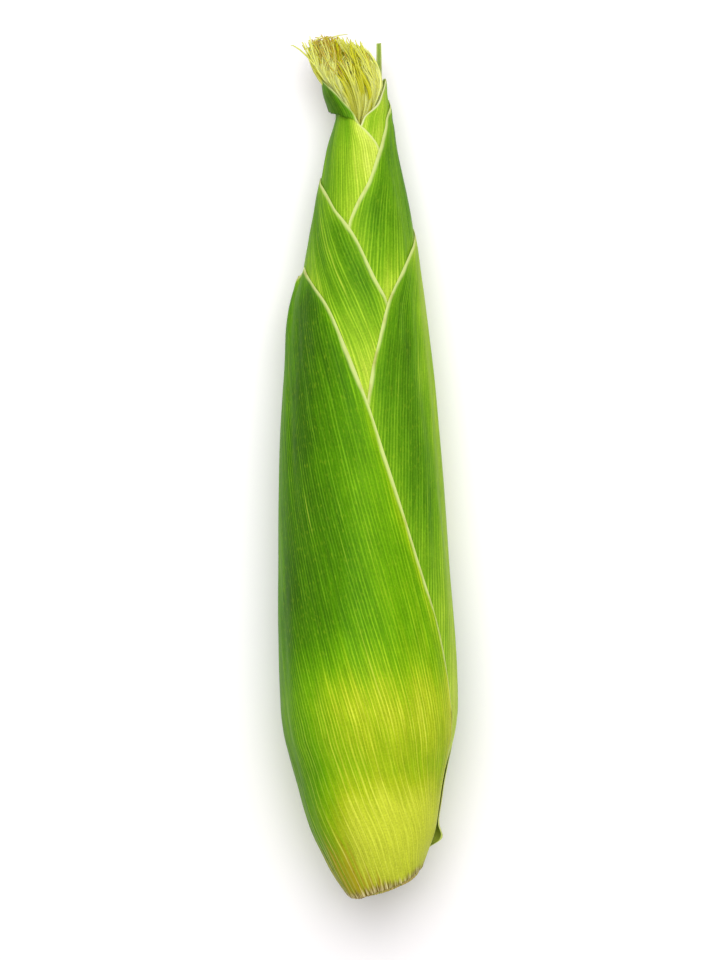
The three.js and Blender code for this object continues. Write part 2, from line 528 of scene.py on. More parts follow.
@dataclass(frozen=True)
class HuskFinish:
    """Fresh maize husk: a leaf sheath that grew as it is, with a thin wax bloom.

    Attributes:
        name: The material's name.
        tones: Colours of the blade, from its greenest to its yellowest.
        rim: Colour of the thin margin.
        margin: Width of that margin, in millimetres.
        parched: Colours of its dried foot, between the veins and on them.
        streak: How strongly the green varies from vein to vein.
        fray: How brown the fibres at its foot are.
    """

    name: str
    tones: tuple[str, ...] = ("376605", "4d8502", "68a004", "8ab30c", "adc01c", "cad438")
    rim: str = "d6de8e"
    margin: float = 0.9
    parched: tuple[str, str] = ("c9ae5e", "e2cf90")
    streak: float = 1.0
    fray: float = 0.12

    def material(self, seed: float) -> bpy.types.Material:
        """Makes the material.

        Args:
            seed: Sets this leaf's pattern apart from the others'.

        Returns:
            The material.
        """
        g = Graph(self.name)
        read = {label: g.add("Attribute", {"attribute_name": label}).outputs["Fac"]
                for label in ("vein", "along", "edge", "pale", "dry", "inner", "cut")}
        place = g.add("TexCoord").outputs["Object"]

        def drawn_out(veins: float, length: float, detail: float, offset: float,
                      roughness: float = 0.5) -> bpy.types.NodeSocket:
            """Noise drawn out along the veins.

            Args:
                veins: How many veins wide its grain is.
                length: How long its grain is, in millimetres.
                detail: How many finer layers it has.
                offset: Sets it apart from this leaf's other noise.
                roughness: How strong the finer layers are.

            Returns:
                Values round 0.5.
            """
            x = g.add("Math", TIMES, _0=read["vein"], _1=1 / veins)
            y = g.add("Math", TIMES, _0=read["along"], _1=1 / length)
            at = g.add("CombineXYZ", X=x, Y=y, Z=seed + offset)
            return g.add("TexNoise", Vector=at, Scale=1.0, Detail=detail, Roughness=roughness).outputs[0]

        grains = ((7.0, 75.0, 2.0, 0.0), (1.15, 45.0, 2.0, 11.0), (0.33, 10.0, 3.0, 23.0),
                  (1.7, 55.0, 1.0, 57.0))
        broad, each, fine, strong = (
            g.add("Math", PLUS, _0=drawn_out(*grain, roughness=0.6), _1=-0.5).outputs[0] for grain in grains)
        # Cells and hairs make a mottle of under a millimetre; growth made cloudy patches of a centimetre.
        mottle = g.add("TexNoise", Vector=place, Scale=1 / (0.55 * MM), Detail=2.0).outputs[0]
        cloud = g.add("TexNoise", Vector=place, Scale=1 / (11 * MM), Detail=2.0).outputs[0]

        # Parallel veins about a millimetre apart: a pale rib over each, stronger on some than on others.
        # Every second one fades out on its way down to the narrow foot.
        wander = g.add("Math", AFTER_TIMES, _0=each, _1=0.7, _2=read["vein"])
        sparse = g.add("Math", {"operation": "SINE"}, _0=g.add("Math", TIMES, _0=wander, _1=math.pi))
        crests = g.add("Math", {"operation": "SINE"}, _0=g.add("Math", TIMES, _0=wander, _1=2 * math.pi))
        narrow = g.add("MapRange", SMOOTH, Value=read["along"], From_Min=58.0, From_Max=18.0)
        thinned = g.add("Math", TIMES, _0=narrow, _1=0.7)
        crests = g.add("Mix", _0=thinned, _2=crests, _3=sparse)
        wave = g.add("Math", AFTER_TIMES, _0=fine, _1=2.2, _2=crests)
        start = g.add("Math", AFTER_TIMES, _0=narrow, _1=0.4, _2=-0.3)
        ridge = g.add("MapRange", SMOOTH, Value=wave, From_Min=start, From_Max=1.2)
        power = g.add("MapRange", SMOOTH, Value=strong, From_Min=-0.2, From_Max=0.2, To_Min=0.2, To_Max=1.0)
        rib = g.add("Math", TIMES, _0=ridge, _1=power)

        # The blade is yellow where another leaf kept the light off it, in uneven streaks.
        yellowing = g.add("Math", AFTER_TIMES, _0=read["pale"], _1=0.20, _2=0.07)
        near = g.add("MapRange", SMOOTH, Value=read["edge"], From_Min=4.5, From_Max=0.4, To_Max=0.16)
        tone = g.add("Math", PLUS, _0=read["pale"], _1=-0.14)
        for part, weight in ((broad, 0.42 * self.streak), (each, 0.34 * self.streak), (rib, yellowing),
                             (cloud, 0.20), (near, 1.0)):
            tone = g.add("Math", AFTER_TIMES, _0=part, _1=weight, _2=tone)
        ramp = g.add("ValToRGB", Fac=tone)
        stops = ramp.color_ramp.elements
        while len(stops) < len(self.tones):
            stops.new(1.0)
        for i, colour in enumerate(self.tones):
            stops[i].position = i / (len(self.tones) - 1)
            stops[i].color = linear(colour)

        light = 0.66
        for part, weight in ((rib, 0.24), (fine, 0.75), (mottle, 0.50), (read["dry"], -0.17)):
            light = g.add("Math", AFTER_TIMES, _0=part, _1=weight, _2=light)
        body = g.add("VectorMath", {"operation": "SCALE"}, _0=ramp, Scale=light)

        # On the foot the veins stand out as thin pale lines, and single veins run pale for a few centimetres.
        # Rows of stomata show as pale specks along them, and here and there a dark spot.
        lined = g.add("MapRange", SMOOTH, Value=read["along"], From_Min=80.0, From_Max=25.0,
                      To_Min=0.05, To_Max=0.30)
        lined = g.add("Math", TIMES, _0=lined, _1=rib)
        bright = g.add("MapRange", SMOOTH, Value=each, From_Min=0.12, From_Max=0.26, To_Max=0.55)
        bright = g.add("Math", TIMES, _0=bright, _1=ridge)
        speck = g.add("MapRange", SMOOTH, Value=drawn_out(1 / 2.4, 1 / 0.45, 1.0, 0.0), From_Min=0.57,
                      From_Max=0.74, To_Max=0.22)
        spot = g.add("MapRange", SMOOTH, Value=drawn_out(1 / 0.9, 1 / 0.7, 2.0, 5.0), From_Min=0.775,
                     From_Max=0.81, To_Max=0.75)
        for share, colour in ((lined, "dcdb66"), (bright, "b9c846"), (speck, "a4c426"), (spot, "2b3d08")):
            body = g.add("Mix", COLOUR, _0=share, _6=body, _7=linear(colour)).outputs[2]

        # The foot dries from the cut: tawny between its pale veins, with brown flecks, then torn fibres.
        uneven = g.add("Math", AFTER_TIMES, _0=each, _1=1.6, _2=1.0)
        uneven = g.add("Math", AFTER_TIMES, _0=broad, _1=1.4, _2=uneven)
        foot = g.add("Math", TIMES, _0=read["dry"], _1=uneven)
        foot = g.add("MapRange", SMOOTH, Value=foot, From_Min=0.80, From_Max=1.3, To_Max=0.88)
        dull, lit = self.parched
        parched = g.add("Mix", COLOUR, _0=rib, _6=linear(dull), _7=linear(lit)).outputs[2]
        fleck = g.add("MapRange", SMOOTH, Value=drawn_out(1 / 1.3, 1 / 0.45, 2.0, 9.0), From_Min=0.57,
                      From_Max=0.70, To_Max=0.6)
        parched = g.add("Mix", COLOUR, _0=fleck, _6=parched, _7=linear("7d5a14")).outputs[2]
        body = g.add("Mix", COLOUR, _0=foot, _6=body, _7=parched).outputs[2]
        fray = g.add("Math", AFTER_TIMES, _0=fine, _1=7.0, _2=read["along"])
        fray = g.add("Math", AFTER_TIMES, _0=broad, _1=7.0, _2=fray)
        fray = g.add("MapRange", SMOOTH, Value=fray, From_Min=2.6, From_Max=0.4, To_Max=self.fray)
        torn = g.add("Math", AFTER_TIMES, _0=fine, _1=0.8, _2=each)
        torn = g.add("MapRange", SMOOTH, Value=torn, From_Min=-0.06, From_Max=0.10)
        fibre = g.add("Mix", COLOUR, _0=torn, _6=linear("5c3a14"), _7=linear("e2d5a0")).outputs[2]
        body = g.add("Mix", COLOUR, _0=fray, _6=body, _7=fibre).outputs[2]

        # A thin, nearly bloodless margin, thinner lower down and browned here and there.
        margin = g.add("Math", AFTER_TIMES, _0=cloud, _1=1.6, _2=read["edge"])
        thin = g.add("MapRange", SMOOTH, Value=read["along"], From_Min=135.0, From_Max=60.0, To_Max=0.45)
        margin = g.add("Math", PLUS, _0=margin, _1=thin)
        margin = g.add("MapRange", SMOOTH, Value=margin, From_Min=0.8 + 1.6 * self.margin,
                       From_Max=0.8 + 0.4 * self.margin, To_Max=0.78)
        brown = g.add("TexNoise", Vector=place, Scale=1 / (7 * MM), Detail=2.0).outputs[0]
        brown = g.add("MapRange", SMOOTH, Value=brown, From_Min=0.5, From_Max=0.75, To_Max=0.6)
        tinge = g.add("Mix", COLOUR, _0=brown, _6=linear(self.rim), _7=linear("ab9648")).outputs[2]
        body = g.add("Mix", COLOUR, _0=margin, _6=body, _7=tinge).outputs[2]
        inner = g.add("Math", TIMES, _0=read["inner"], _1=0.5)
        body = g.add("Mix", COLOUR, _0=inner, _6=body, _7=linear("a9bf5a")).outputs[2]
        face = g.add("Mix", COLOUR, _0=torn, _6=linear("8a6a2c"), _7=linear("dcc582")).outputs[2]
        body = g.add("Mix", COLOUR, _0=read["cut"], _6=body, _7=face).outputs[2]

        rough = g.add("MapRange", Value=mottle, To_Min=0.42, To_Max=0.62)
        relief = g.add("Math", AFTER_TIMES, _0=fine, _1=0.7, _2=rib)
        relief = g.add("Math", AFTER_TIMES, _0=mottle, _1=0.5, _2=relief)
        bump = g.add("Bump", Strength=0.5, Distance=0.00006, Height=relief)
        # Satin wax bloom: broad, weak highlights and a faint grey sheen at grazing angles.
        surface = g.add("BsdfPrincipled", Base_Color=body, Roughness=rough, Normal=bump, IOR=1.42,
                        Specular_IOR_Level=0.05, Sheen_Weight=0.05, Sheen_Roughness=0.35,
                        Sheen_Tint=linear("e6efdc"))
        g.add("OutputMaterial", Surface=surface)
        return g.material


@dataclass(frozen=True)
class SilkFinish:
    """Corn silk: moist, glassy styles that dry to brown at their ends.

    Attributes:
        root: Colour inside the mouth.
        body: Colour along the strand.
        pale: Colour of the palest strands.
        painted_shade: Colour painted on strands low in the tuft: a darker olive, as painted shade.
        dry: Colour of the dried ends.
    """

    root: str = "e4e04a"
    body: str = "cac80a"
    pale: str = "e9ee80"
    painted_shade: str = "a8aa04"
    dry: str = "ae8a28"

    def material(self) -> bpy.types.Material:
        """Makes the material.

        Returns:
            The material.
        """
        g = Graph("moist_corn_silk")
        read = {label: g.add("Attribute", {"attribute_name": label}).outputs["Fac"]
                for label in ("along", "tone", "painted_shade", "dried")}
        body = g.add("Mix", COLOUR, _0=read["tone"], _6=linear(self.body), _7=linear(self.pale)).outputs[2]
        low = g.add("MapRange", SMOOTH, Value=read["along"], From_Min=0.5, From_Max=0.15, To_Max=0.7)
        body = g.add("Mix", COLOUR, _0=low, _6=body, _7=linear(self.root)).outputs[2]
        # Painted shade: strands low in the tuft are mixed towards a darker olive, as if the strands above
        # shaded them.
        body = g.add("Mix", COLOUR, _0=read["painted_shade"], _6=body, _7=linear(self.painted_shade)).outputs[2]
        body = g.add("Mix", COLOUR, _0=read["dried"], _6=body, _7=linear(self.dry)).outputs[2]
        # Wet strands: small clear highlights, and light that passes a little way through.
        surface = g.add("BsdfPrincipled", Base_Color=body, Roughness=0.28, IOR=1.4, Specular_IOR_Level=0.25,
                        Subsurface_Weight=0.35, Subsurface_Scale=0.0012, Subsurface_Radius=(1.0, 0.95, 0.12))
        g.add("OutputMaterial", Surface=surface)
        return g.material


@dataclass(frozen=True)
class KernelFinish:
    """Fresh sweet corn kernels: a tight, glossy skin over a milky body.

    Attributes:
        crown: Colour of the plump crown.
        groove: Colour down between the rows.
    """

    crown: str = "f2cf4c"
    groove: str = "f0e2a0"

    def material(self) -> bpy.types.Material:
        """Makes the material.

        Returns:
            The material.
        """
        g = Graph("fresh_kernel_skin")
        height = g.add("Attribute", {"attribute_name": "crown"}).outputs["Fac"]
        place = g.add("TexCoord").outputs["Object"]
        # Kernels are about 8 mm across, so their colour changes over that distance.
        tone = g.add("TexNoise", Vector=place, Scale=1 / (8 * MM), Detail=2.0).outputs[0]
        body = g.add("Mix", COLOUR, _0=height, _6=linear(self.groove), _7=linear(self.crown)).outputs[2]
        soft = g.add("MapRange", Value=tone, From_Min=0.4, From_Max=0.7, To_Max=0.3)
        body = g.add("Mix", COLOUR, _0=soft, _6=body, _7=linear("f7e58c")).outputs[2]
        surface = g.add("BsdfPrincipled", Base_Color=body, Roughness=0.22, IOR=1.42,
                        Subsurface_Weight=0.2, Subsurface_Scale=0.002, Subsurface_Radius=(1.0, 0.6, 0.2))
        g.add("OutputMaterial", Surface=surface)
        return g.material


@dataclass(frozen=True)
class StalkFinish:
    """The cut stalk: pale spongy pith dotted with bundles, in a browned, fibrous rind.

    Attributes:
        pith: Colour of the pith.
        bundle: Colour of the bundles.
        rind: Colour of the rind.
    """

    pith: str = "dccf8e"
    bundle: str = "8f6b2a"
    rind: str = "a98f2f"

    def material(self) -> bpy.types.Material:
        """Makes the material.

        Returns:
            The material.
        """
        g = Graph("cut_maize_stalk")
        radial = g.add("Attribute", {"attribute_name": "radial"}).outputs["Fac"]
        place = g.add("TexCoord").outputs["Object"]
        flat = g.add("Mapping", Vector=place, Scale=(1.0, 0.15, 1.0)).outputs[0]
        # Bundles about 0.9 mm apart, and a finer sponge.
        bundles = g.add("TexVoronoi", Vector=flat, Scale=1 / (0.9 * MM)).outputs["Distance"]
        dots = g.add("MapRange", SMOOTH, Value=bundles, From_Min=0.26, From_Max=0.12)
        sponge = g.add("TexNoise", Vector=place, Scale=1 / (0.5 * MM), Detail=4.0).outputs[0]
        body = g.add("Mix", COLOUR, _0=sponge, _6=linear(self.pith), _7=linear("c2a95c")).outputs[2]
        body = g.add("Mix", COLOUR, _0=dots, _6=body, _7=linear(self.bundle)).outputs[2]
        outer = g.add("MapRange", SMOOTH, Value=radial, From_Min=0.72, From_Max=0.96)
        body = g.add("Mix", COLOUR, _0=outer, _6=body, _7=linear(self.rind)).outputs[2]
        bump = g.add("Bump", Strength=0.8, Distance=0.00025, Height=sponge)
        surface = g.add("BsdfPrincipled", Base_Color=body, Roughness=0.82, Normal=bump)
        g.add("OutputMaterial", Surface=surface)
        return g.material


# ---------------------------------------------------------------------------
# Husk leaves
# ---------------------------------------------------------------------------


class Hidden(Enum):
    """Which leaves lie mostly out of sight, and so take a coarser mesh."""

    SEEN = 1.0
    BURIED = 0.5


@dataclass
class HuskLeaf:
    """One husk leaf: a thin ribbed sheet that grows from the butt and ends in its own tip.

    Its low and high margins are angles at each height. Its veins fan out between a low vein, the
    spine, which runs into the tip, and a high vein, and they run out at the margins.

    Attributes:
        name: Name of its node in the frame.
        piece: Name of the finished piece.
        slot: Material slot of the record. Not used.
        finish: Its surface.
        spine: Angle of the vein that runs into the tip.
        low: Angle of the low margin.
        high: Angle of the high margin.
        follow: Heights up to which the low and the high vein follow their margins.
        lag: How much less than the margins those veins turn above there.
        twist: How much of the spine's turn the low vein takes instead.
        measured_at: Height at which the veins' spacing is measured.
        vein_gap: Distance between two veins there.
        body: Thickness of the blade.
        rim: Thickness at the margin.
        rib: Height of the rib over a vein.
        seed: Sets its ripples apart from the others'.
        shown: How much of it is in sight.
        own: How yellow it is in full light, from 0 to 1.
        shaded: How much yellower it is where other leaves cover it.
        turned: How much yellower it is at each angle.
        foot_short: How far its foot falls short of the cut.
        foot_rag: How ragged its foot is.
        made: The finished object.
    """

    name: str
    piece: str
    slot: str
    finish: HuskFinish
    spine: Curve
    low: Curve
    high: Curve
    follow: tuple[float, float] = (40.0, 40.0)
    lag: tuple[float, float] = (0.65, 0.65)
    twist: float = 0.0
    measured_at: float = 80.0
    vein_gap: float = 1.15
    body: float = 0.32
    rim: float = 0.14
    rib: float = 0.018
    seed: int = 1
    shown: Hidden = Hidden.SEEN
    own: float = 0.2
    shaded: float = 0.7
    turned: Curve = Curve(((-180, 0), (180, 0)))
    foot_short: float = 0.0
    foot_rag: float = 0.07
    made: bpy.types.Object | None = field(default=None, repr=False)

    def __post_init__(self) -> None:
        """Works out the veins and where each meets the margins."""
        self.tip = self.low.points[-1][0]
        self.stations = np.linspace(0, self.tip, round(self.tip * 2) + 1)
        y = self.stations
        spine, low, high = self.spine(y), self.low(y), self.high(y)
        self.low_vein = self._vein(self.low, self.follow[0], self.lag[0]) + self.twist * (spine - spine[0])
        self.high_vein = self._vein(self.high, self.follow[1], self.lag[1])
        share_low = np.clip((spine - low) / np.maximum(spine - self.low_vein, 1), 0, 1)
        share_high = np.clip((high - spine) / np.maximum(self.high_vein - spine, 1), 0, 1)
        slack = 1e-5 * (1 - y / self.tip)
        self.share_low = np.minimum.accumulate(share_low) + slack
        self.share_high = np.minimum.accumulate(share_high) + slack
        self.low_edge = spine - self.share_low * (spine - self.low_vein)
        self.high_edge = spine + self.share_high * (self.high_vein - spine)
        arc = np.radians(FORM.girth(self.measured_at)) / self.vein_gap
        at = np.searchsorted(y, self.measured_at)
        self.veins_low = float(arc * (spine - self.low_vein)[at])
        self.veins_high = float(arc * (self.high_vein - spine)[at])

    def _vein(self, margin: Curve, until: float, lag: float) -> Array:
        """A vein that follows a margin up to a height and lags behind it above there.

        Args:
            margin: The margin.
            until: The height.
            lag: How much of the margin's turn it takes above there.

        Returns:
            Its angle at each station.
        """
        y = self.stations
        start = margin(until)
        return np.where(y <= until, margin(y), start + lag * (margin(y) - start))

    def vein_angle(self, share: Array, y: Array) -> Array:
        """Angle of a vein.

        Args:
            share: The vein: -1 is the low vein, 0 the spine and 1 the high vein.
            y: Height along the ear.

        Returns:
            Its angle in degrees.
        """
        spine = self.spine(y)
        low = np.interp(y, self.stations, self.low_vein)
        high = np.interp(y, self.stations, self.high_vein)
        return spine + np.where(share < 0, share * (spine - low), share * (high - spine))

    def share_at(self, angle: Array, y: Array) -> Array:
        """Which vein passes through a place, the other way round from vein_angle.

        Args:
            angle: Degrees round the ear.
            y: Height along the ear.

        Returns:
            The vein, from -1 on the low one to 1 on the high one.
        """
        spine = self.spine(y)
        low = np.interp(y, self.stations, self.low_vein)
        high = np.interp(y, self.stations, self.high_vein)
        off = angle - spine
        return np.where(off < 0, off / np.maximum(spine - low, 1), off / np.maximum(high - spine, 1))

    def edge_distance(self, angle: Array, y: Array) -> Array:
        """Distance to the nearer margin.

        Args:
            angle: Degrees round the ear.
            y: Height along the ear.

        Returns:
            Millimetres, negative outside the leaf.
        """
        radius = FORM.girth(y)
        slopes = [np.gradient(edge, self.stations) for edge in (self.low_edge, self.high_edge)]
        near = []
        for edge, slope, way in ((self.low_edge, slopes[0], 1), (self.high_edge, slopes[1], -1)):
            lean = np.radians(np.interp(y, self.stations, slope)) * radius
            gap = np.radians(way * (angle - np.interp(y, self.stations, edge))) * radius
            near.append(gap / np.sqrt(1 + lean * lean))
        return np.minimum(*near)

    def unwrap(self, angle: Array, y: Array) -> Array:
        """Brings angles of the map to the turn that this leaf's margins are counted in.

        Args:
            angle: Degrees round the ear, from 0 to 360.
            y: Height along the ear.

        Returns:
            The same places, within half a turn of the leaf's middle.
        """
        low, high = (np.interp(y, self.stations, edge) for edge in (self.low_edge, self.high_edge))
        middle = (low + high) / 2
        return middle + (angle - middle + 180) % 360 - 180

    def thickness(self, edge: Array, y: Array) -> Array:
        """Thickness of the sheet: fleshy at the foot and thin at the margin.

        Args:
            edge: Distance from the margin.
            y: Height along the ear.

        Returns:
            The thickness in millimetres.
        """
        fleshy = 0.40 * (1 - smoothstep(2, 30, y))
        return self.rim + (self.body - self.rim) * (1 - np.exp(-np.maximum(edge, 0) / 0.7)) + fleshy

    def waves(self, share: Array, y: Array) -> Array:
        """Shallow furrows, several veins wide, that both faces share.

        Args:
            share: The veins.
            y: Height along the ear.

        Returns:
            Their lift in millimetres.
        """
        rng = np.random.default_rng(self.seed)
        veins = np.where(share < 0, share * self.veins_low, share * self.veins_high)
        fade = smoothstep(4, 40, y)
        return (0.13 + 0.11 * ripple(rng, veins, y, (5.3, 8.9, 13.7, 21.0), 45.0)) * fade

    def standing(self, angle: Array, y: Array, edge: Array) -> Array:
        """How far the leaf stands off what it covers. Leaves that do so override this."""
        return np.zeros(np.broadcast(angle, y).shape)

    def fold(self, angle: Array, y: Array, edge: Array) -> tuple[Array, Array]:
        """Extra lift and extra height along the ear where the leaf is folded, after it is laid."""
        nothing = np.zeros(np.broadcast(angle, y).shape)
        return nothing, nothing

    def lay(self, wrapping: Wrapping) -> None:
        """Lays the leaf over what the wrapping holds.

        Args:
            wrapping: The husk so far.
        """
        y = wrapping.heights
        angle = self.unwrap(wrapping.angles, y)
        edge = self.edge_distance(angle, y)
        self.index = len(wrapping.masks)
        mask = (edge > 0) & (y < self.tip)
        relief = self.waves(self.share_at(angle, y), y) * smoothstep(0, 6, edge)
        self.inside = wrapping.seat() + relief + self.standing(angle, y, edge)
        wrapping.lay(mask, self.inside, self.thickness(edge, y))

    def columns(self) -> Array:
        """The veins, and places between them, that the mesh's columns run along.

        Returns:
            Shares from -1 to 1.
        """
        spacing = 3 if self.shown is Hidden.SEEN else 2
        low = np.linspace(-1, 0, max(12, round(self.veins_low * spacing)) + 1)
        high = np.linspace(0, 1, max(12, round(self.veins_high * spacing)) + 1)
        return np.concatenate([low, high[1:]])

    def rows(self) -> Array:
        """Where the mesh's rows cross each column.

        Returns:
            Shares from 0 at the butt to 1 at the margin.
        """
        widest = 2.3 / self.shown.value
        from_margin, from_foot = [0.22], [0.3]
        while sum(from_margin) + sum(from_foot) < self.tip:
            if from_foot[-1] < widest:
                from_foot.append(from_foot[-1] * 1.2)
            from_margin.append(min(widest, from_margin[-1] * 1.07))
        gaps = np.array(from_foot + from_margin[::-1])
        return np.concatenate([[0], np.cumsum(gaps)]) / gaps.sum()

    def build(self, wrapping: Wrapping) -> bpy.types.Object:
        """Makes the closed sheet.

        Args:
            wrapping: The settled husk.

        Returns:
            The leaf's object.
        """
        share, t = self.columns(), self.rows()
        tops_low = np.interp(-share, self.share_low[::-1], self.stations[::-1])
        tops_high = np.interp(share, self.share_high[::-1], self.stations[::-1])
        top = np.where(share < 0, tops_low, tops_high)
        rng = np.random.default_rng(self.seed + 100)
        fibres = len(share)
        rag = self.foot_rag * rng.exponential(1, fibres).clip(0, 3)
        feet = self.feet(wrapping, share) + self.foot_short - rag
        loose = self.foot_rag * rng.normal(0, 0.7, fibres)
        tall = rng.uniform(0.2, 1.6, round(self.veins_low + self.veins_high) + 3)
        top = np.maximum(top, feet + 1.0)
        y = feet + (top - feet) * t[:, None]
        angle = self.vein_angle(share + np.zeros_like(y), y)
        edge = np.maximum(self.edge_distance(angle, y), 0)
        edge[-1] = 0
        veins = np.where(share < 0, share * self.veins_low, share * self.veins_high) + np.zeros_like(y)

        inside = wrapping.read(self.inside, angle, y)
        over = wrapping.read(wrapping.outside, angle, y)
        settled = wrapping.read(wrapping.settled, angle, y)
        each = np.interp(veins + self.veins_low + 1, np.arange(len(tall)), tall)
        ribs = self.rib * each * np.cos(2 * np.pi * veins) * smoothstep(0.3, 1.6, edge)
        ribs = ribs * smoothstep(20, 60, y) + loose * (1 - smoothstep(0, 3, y - feet))
        extra, shift = self.fold(angle, y, edge)
        shells = []
        for lift in (inside + self.thickness(edge, y), inside):
            lift = lift + ribs + extra
            shells.append(FORM.point(angle, y + shift, settled - lift, np.maximum(over - lift, 0)))
        outer, inner = shells

        rows, columns = y.shape
        ring = border(rows, columns)
        flat_outer, flat_inner = outer.reshape(-1, 3), inner.reshape(-1, 3)
        away = self._outward(outer)
        middle = (flat_outer[ring] + flat_inner[ring]) / 2 + 0.3 * self.rim * away
        count = rows * columns
        points = np.concatenate([flat_outer, flat_inner, middle])
        here = np.arange(len(ring))
        there = (here + 1) % len(ring)
        mid = 2 * count
        faces = [
            grid_faces(rows, columns),
            grid_faces(rows, columns, count)[:, ::-1],
            np.stack([ring[there], ring[here], mid + here, mid + there], 1),
            np.stack([mid + there, mid + here, count + ring[here], count + ring[there]], 1),
        ]
        attributes = {}
        for label, values in (("vein", self.drawn(angle, y, veins)), ("along", y - feet),
                              ("edge", self.rimmed(angle, y, edge)), ("dry", self.dry(angle, y - feet)),
                              ("pale", self.pale(wrapping, angle, y, edge))):
            flat = values.ravel()
            attributes[label] = np.concatenate([flat, flat, flat[ring]])
        attributes["inner"] = np.concatenate([np.zeros(count), np.ones(count), np.full(len(ring), 0.3)])
        sawn = np.zeros(rows * columns)
        sawn[:columns] = 0.4
        attributes["cut"] = np.concatenate([sawn, sawn, np.where(ring < columns, 1.0, 0.0)])
        self.made = mesh_object(self.piece, (points + ORIGIN) * MM, faces, attributes)
        return self.made

    def pale(self, wrapping: Wrapping, angle: Array, y: Array, edge: Array) -> Array:
        """How yellow the leaf is, from 0 to 1: it stays pale where the leaves over it kept off the light.

        Args:
            wrapping: The settled husk.
            angle: Degrees round the ear.
            y: Height along the ear.
            edge: Distance from the margin. Not used.

        Returns:
            Values from 0 to 1.
        """
        covered = np.zeros_like(wrapping.outside)
        for mask in wrapping.masks[self.index + 1:]:
            covered = np.maximum(covered, mask)
        dim = wrapping.read(wrapping.blurred(covered, 26, 16, 2), angle, y)
        foot = 0.6 * (1 - smoothstep(60, 190, y))
        return np.maximum(self.own + self.turned(angle) + self.shaded * smoothstep(0.05, 0.95, dim), foot)

    def dry(self, angle: Array, along: Array) -> Array:
        """How far the foot has dried, from 0 to 1."""
        return (1 - smoothstep(1, 8, along)) * 1.2

    def drawn(self, angle: Array, y: Array, veins: Array) -> Array:
        """The vein numbers that the surface shows. A leaf whose veins part from its mesh overrides this."""
        return veins

    def rimmed(self, angle: Array, y: Array, edge: Array) -> Array:
        """The distance from the margin that the surface shows. A leaf with a narrower rim overrides this."""
        return edge

    def feet(self, wrapping: Wrapping, share: Array) -> Array:
        """Where each vein meets the cut through the butt.

        Args:
            wrapping: The settled husk.
            share: The veins.

        Returns:
            Heights along the ear.
        """
        y = np.full_like(share, NEAR_CUT)
        for _ in range(3):
            angle = self.vein_angle(share, np.maximum(y, 0))
            depth = wrapping.read(wrapping.settled, angle, y) - wrapping.read(self.inside, angle, y)
            y = FORM.butt_cut(angle, FORM.girth(y) - depth)
        return y

    @staticmethod
    def _outward(grid: Array) -> Array:
        """Unit vectors that point out of a grid's edge.

        Args:
            grid: The grid's corners.

        Returns:
            One vector for each corner of the edge, in the order of border().
        """
        up = np.concatenate([grid[1:2] - grid[2:3], (grid[-1:] - grid[-2:-1])])
        top = up[1]
        right = grid[1:, -1] - grid[1:, -2]
        left = grid[-2:0:-1, 0] - grid[-2:0:-1, 1]
        ring = np.concatenate([np.zeros_like(grid[0]), right[:-1], top[::-1], left])
        length = np.linalg.norm(ring, axis=1, keepdims=True)
        return ring / np.maximum(length, 1e-6)

    def dress(self) -> None:
        """Gives the leaf its surface and its place in the frame."""
        self.made.data.materials.append(self.finish.material(float(self.seed)))
        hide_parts(self.name)
        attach(self.made, "root")


@dataclass
class OuterLeftLeaf(HuskLeaf):
    """The outermost leaf. Nothing shades it, so it is green right down to its yellow foot.

    Attributes:
        upper: How yellow its blade is at each angle.
        lower: How yellow its foot is at each height.
        side: How much of that it keeps at each angle.
        fan: Angle of its lowest drawn vein at each height of the foot.
    """

    upper: Curve = Curve((
        (-76, 0.26), (-64, 0.14), (-52, 0.03), (-30, 0.13), (0, 0.30), (12, 0.38), (40, 0.48)))
    lower: Curve = Curve((
        (0, 1.14), (20, 1.12), (30, 1.0), (45, 0.73), (60, 0.80), (75, 0.60), (90, 0.42), (110, 0.3)))
    side: Curve = Curve(((-80, 0.36), (-52, 0.46), (-30, 0.74), (-12, 0.97), (15, 1.03), (50, 1.0)))
    fan: Curve = Curve(((0, -168), (9, -151), (20, -145), (38, -143), (60, -142)))

    def standing(self, angle: Array, y: Array, edge: Array) -> Array:
        """It stands off near its tip, away from its front margin."""
        return 1.05 * smoothstep(140, 198, y) * smoothstep(1, 10, edge)

    def feet(self, wrapping: Wrapping, share: Array) -> Array:
        """Its foot is torn back on the right, which bares the leaf below."""
        back = 0.9 * smoothstep(-0.72, -0.45, share) + 0.8 * smoothstep(-0.3, 0.05, share)
        return super().feet(wrapping, share) + back

    def pale(self, wrapping: Wrapping, angle: Array, y: Array, edge: Array) -> Array:
        """It yellows towards its foot and towards the side where it was covered longest."""
        up = smoothstep(66, 104, y)
        return self.upper(angle) * up + self.lower(y) * self.side(angle) * (1 - up)

    def dry(self, angle: Array, along: Array) -> Array:
        """It has dried furthest up on its left."""
        reach = 54 - 38 * smoothstep(-52, 12, angle) - 7 * smoothstep(12, 40, angle)
        return (1 - smoothstep(0, 1, along / reach)) * (1.25 - 0.5 * smoothstep(0, 40, angle))

    def drawn(self, angle: Array, y: Array, veins: Array) -> Array:
        """Low down, the veins on its left fan out from the foot and run out at the low margin.

        Args:
            angle: Degrees round the ear.
            y: Height along the ear.
            veins: The vein numbers of the mesh.

        Returns:
            Vein numbers.
        """
        spine = self.spine(y)
        low = np.where(y < 60, self.fan(y), np.interp(y, self.stations, self.low_vein))
        blend = smoothstep(50, 60, y)
        spread = (angle - spine) / (spine - low) * self.veins_low
        return np.where(angle < spine, spread * (1 - blend) + np.minimum(veins, 0) * blend, veins)


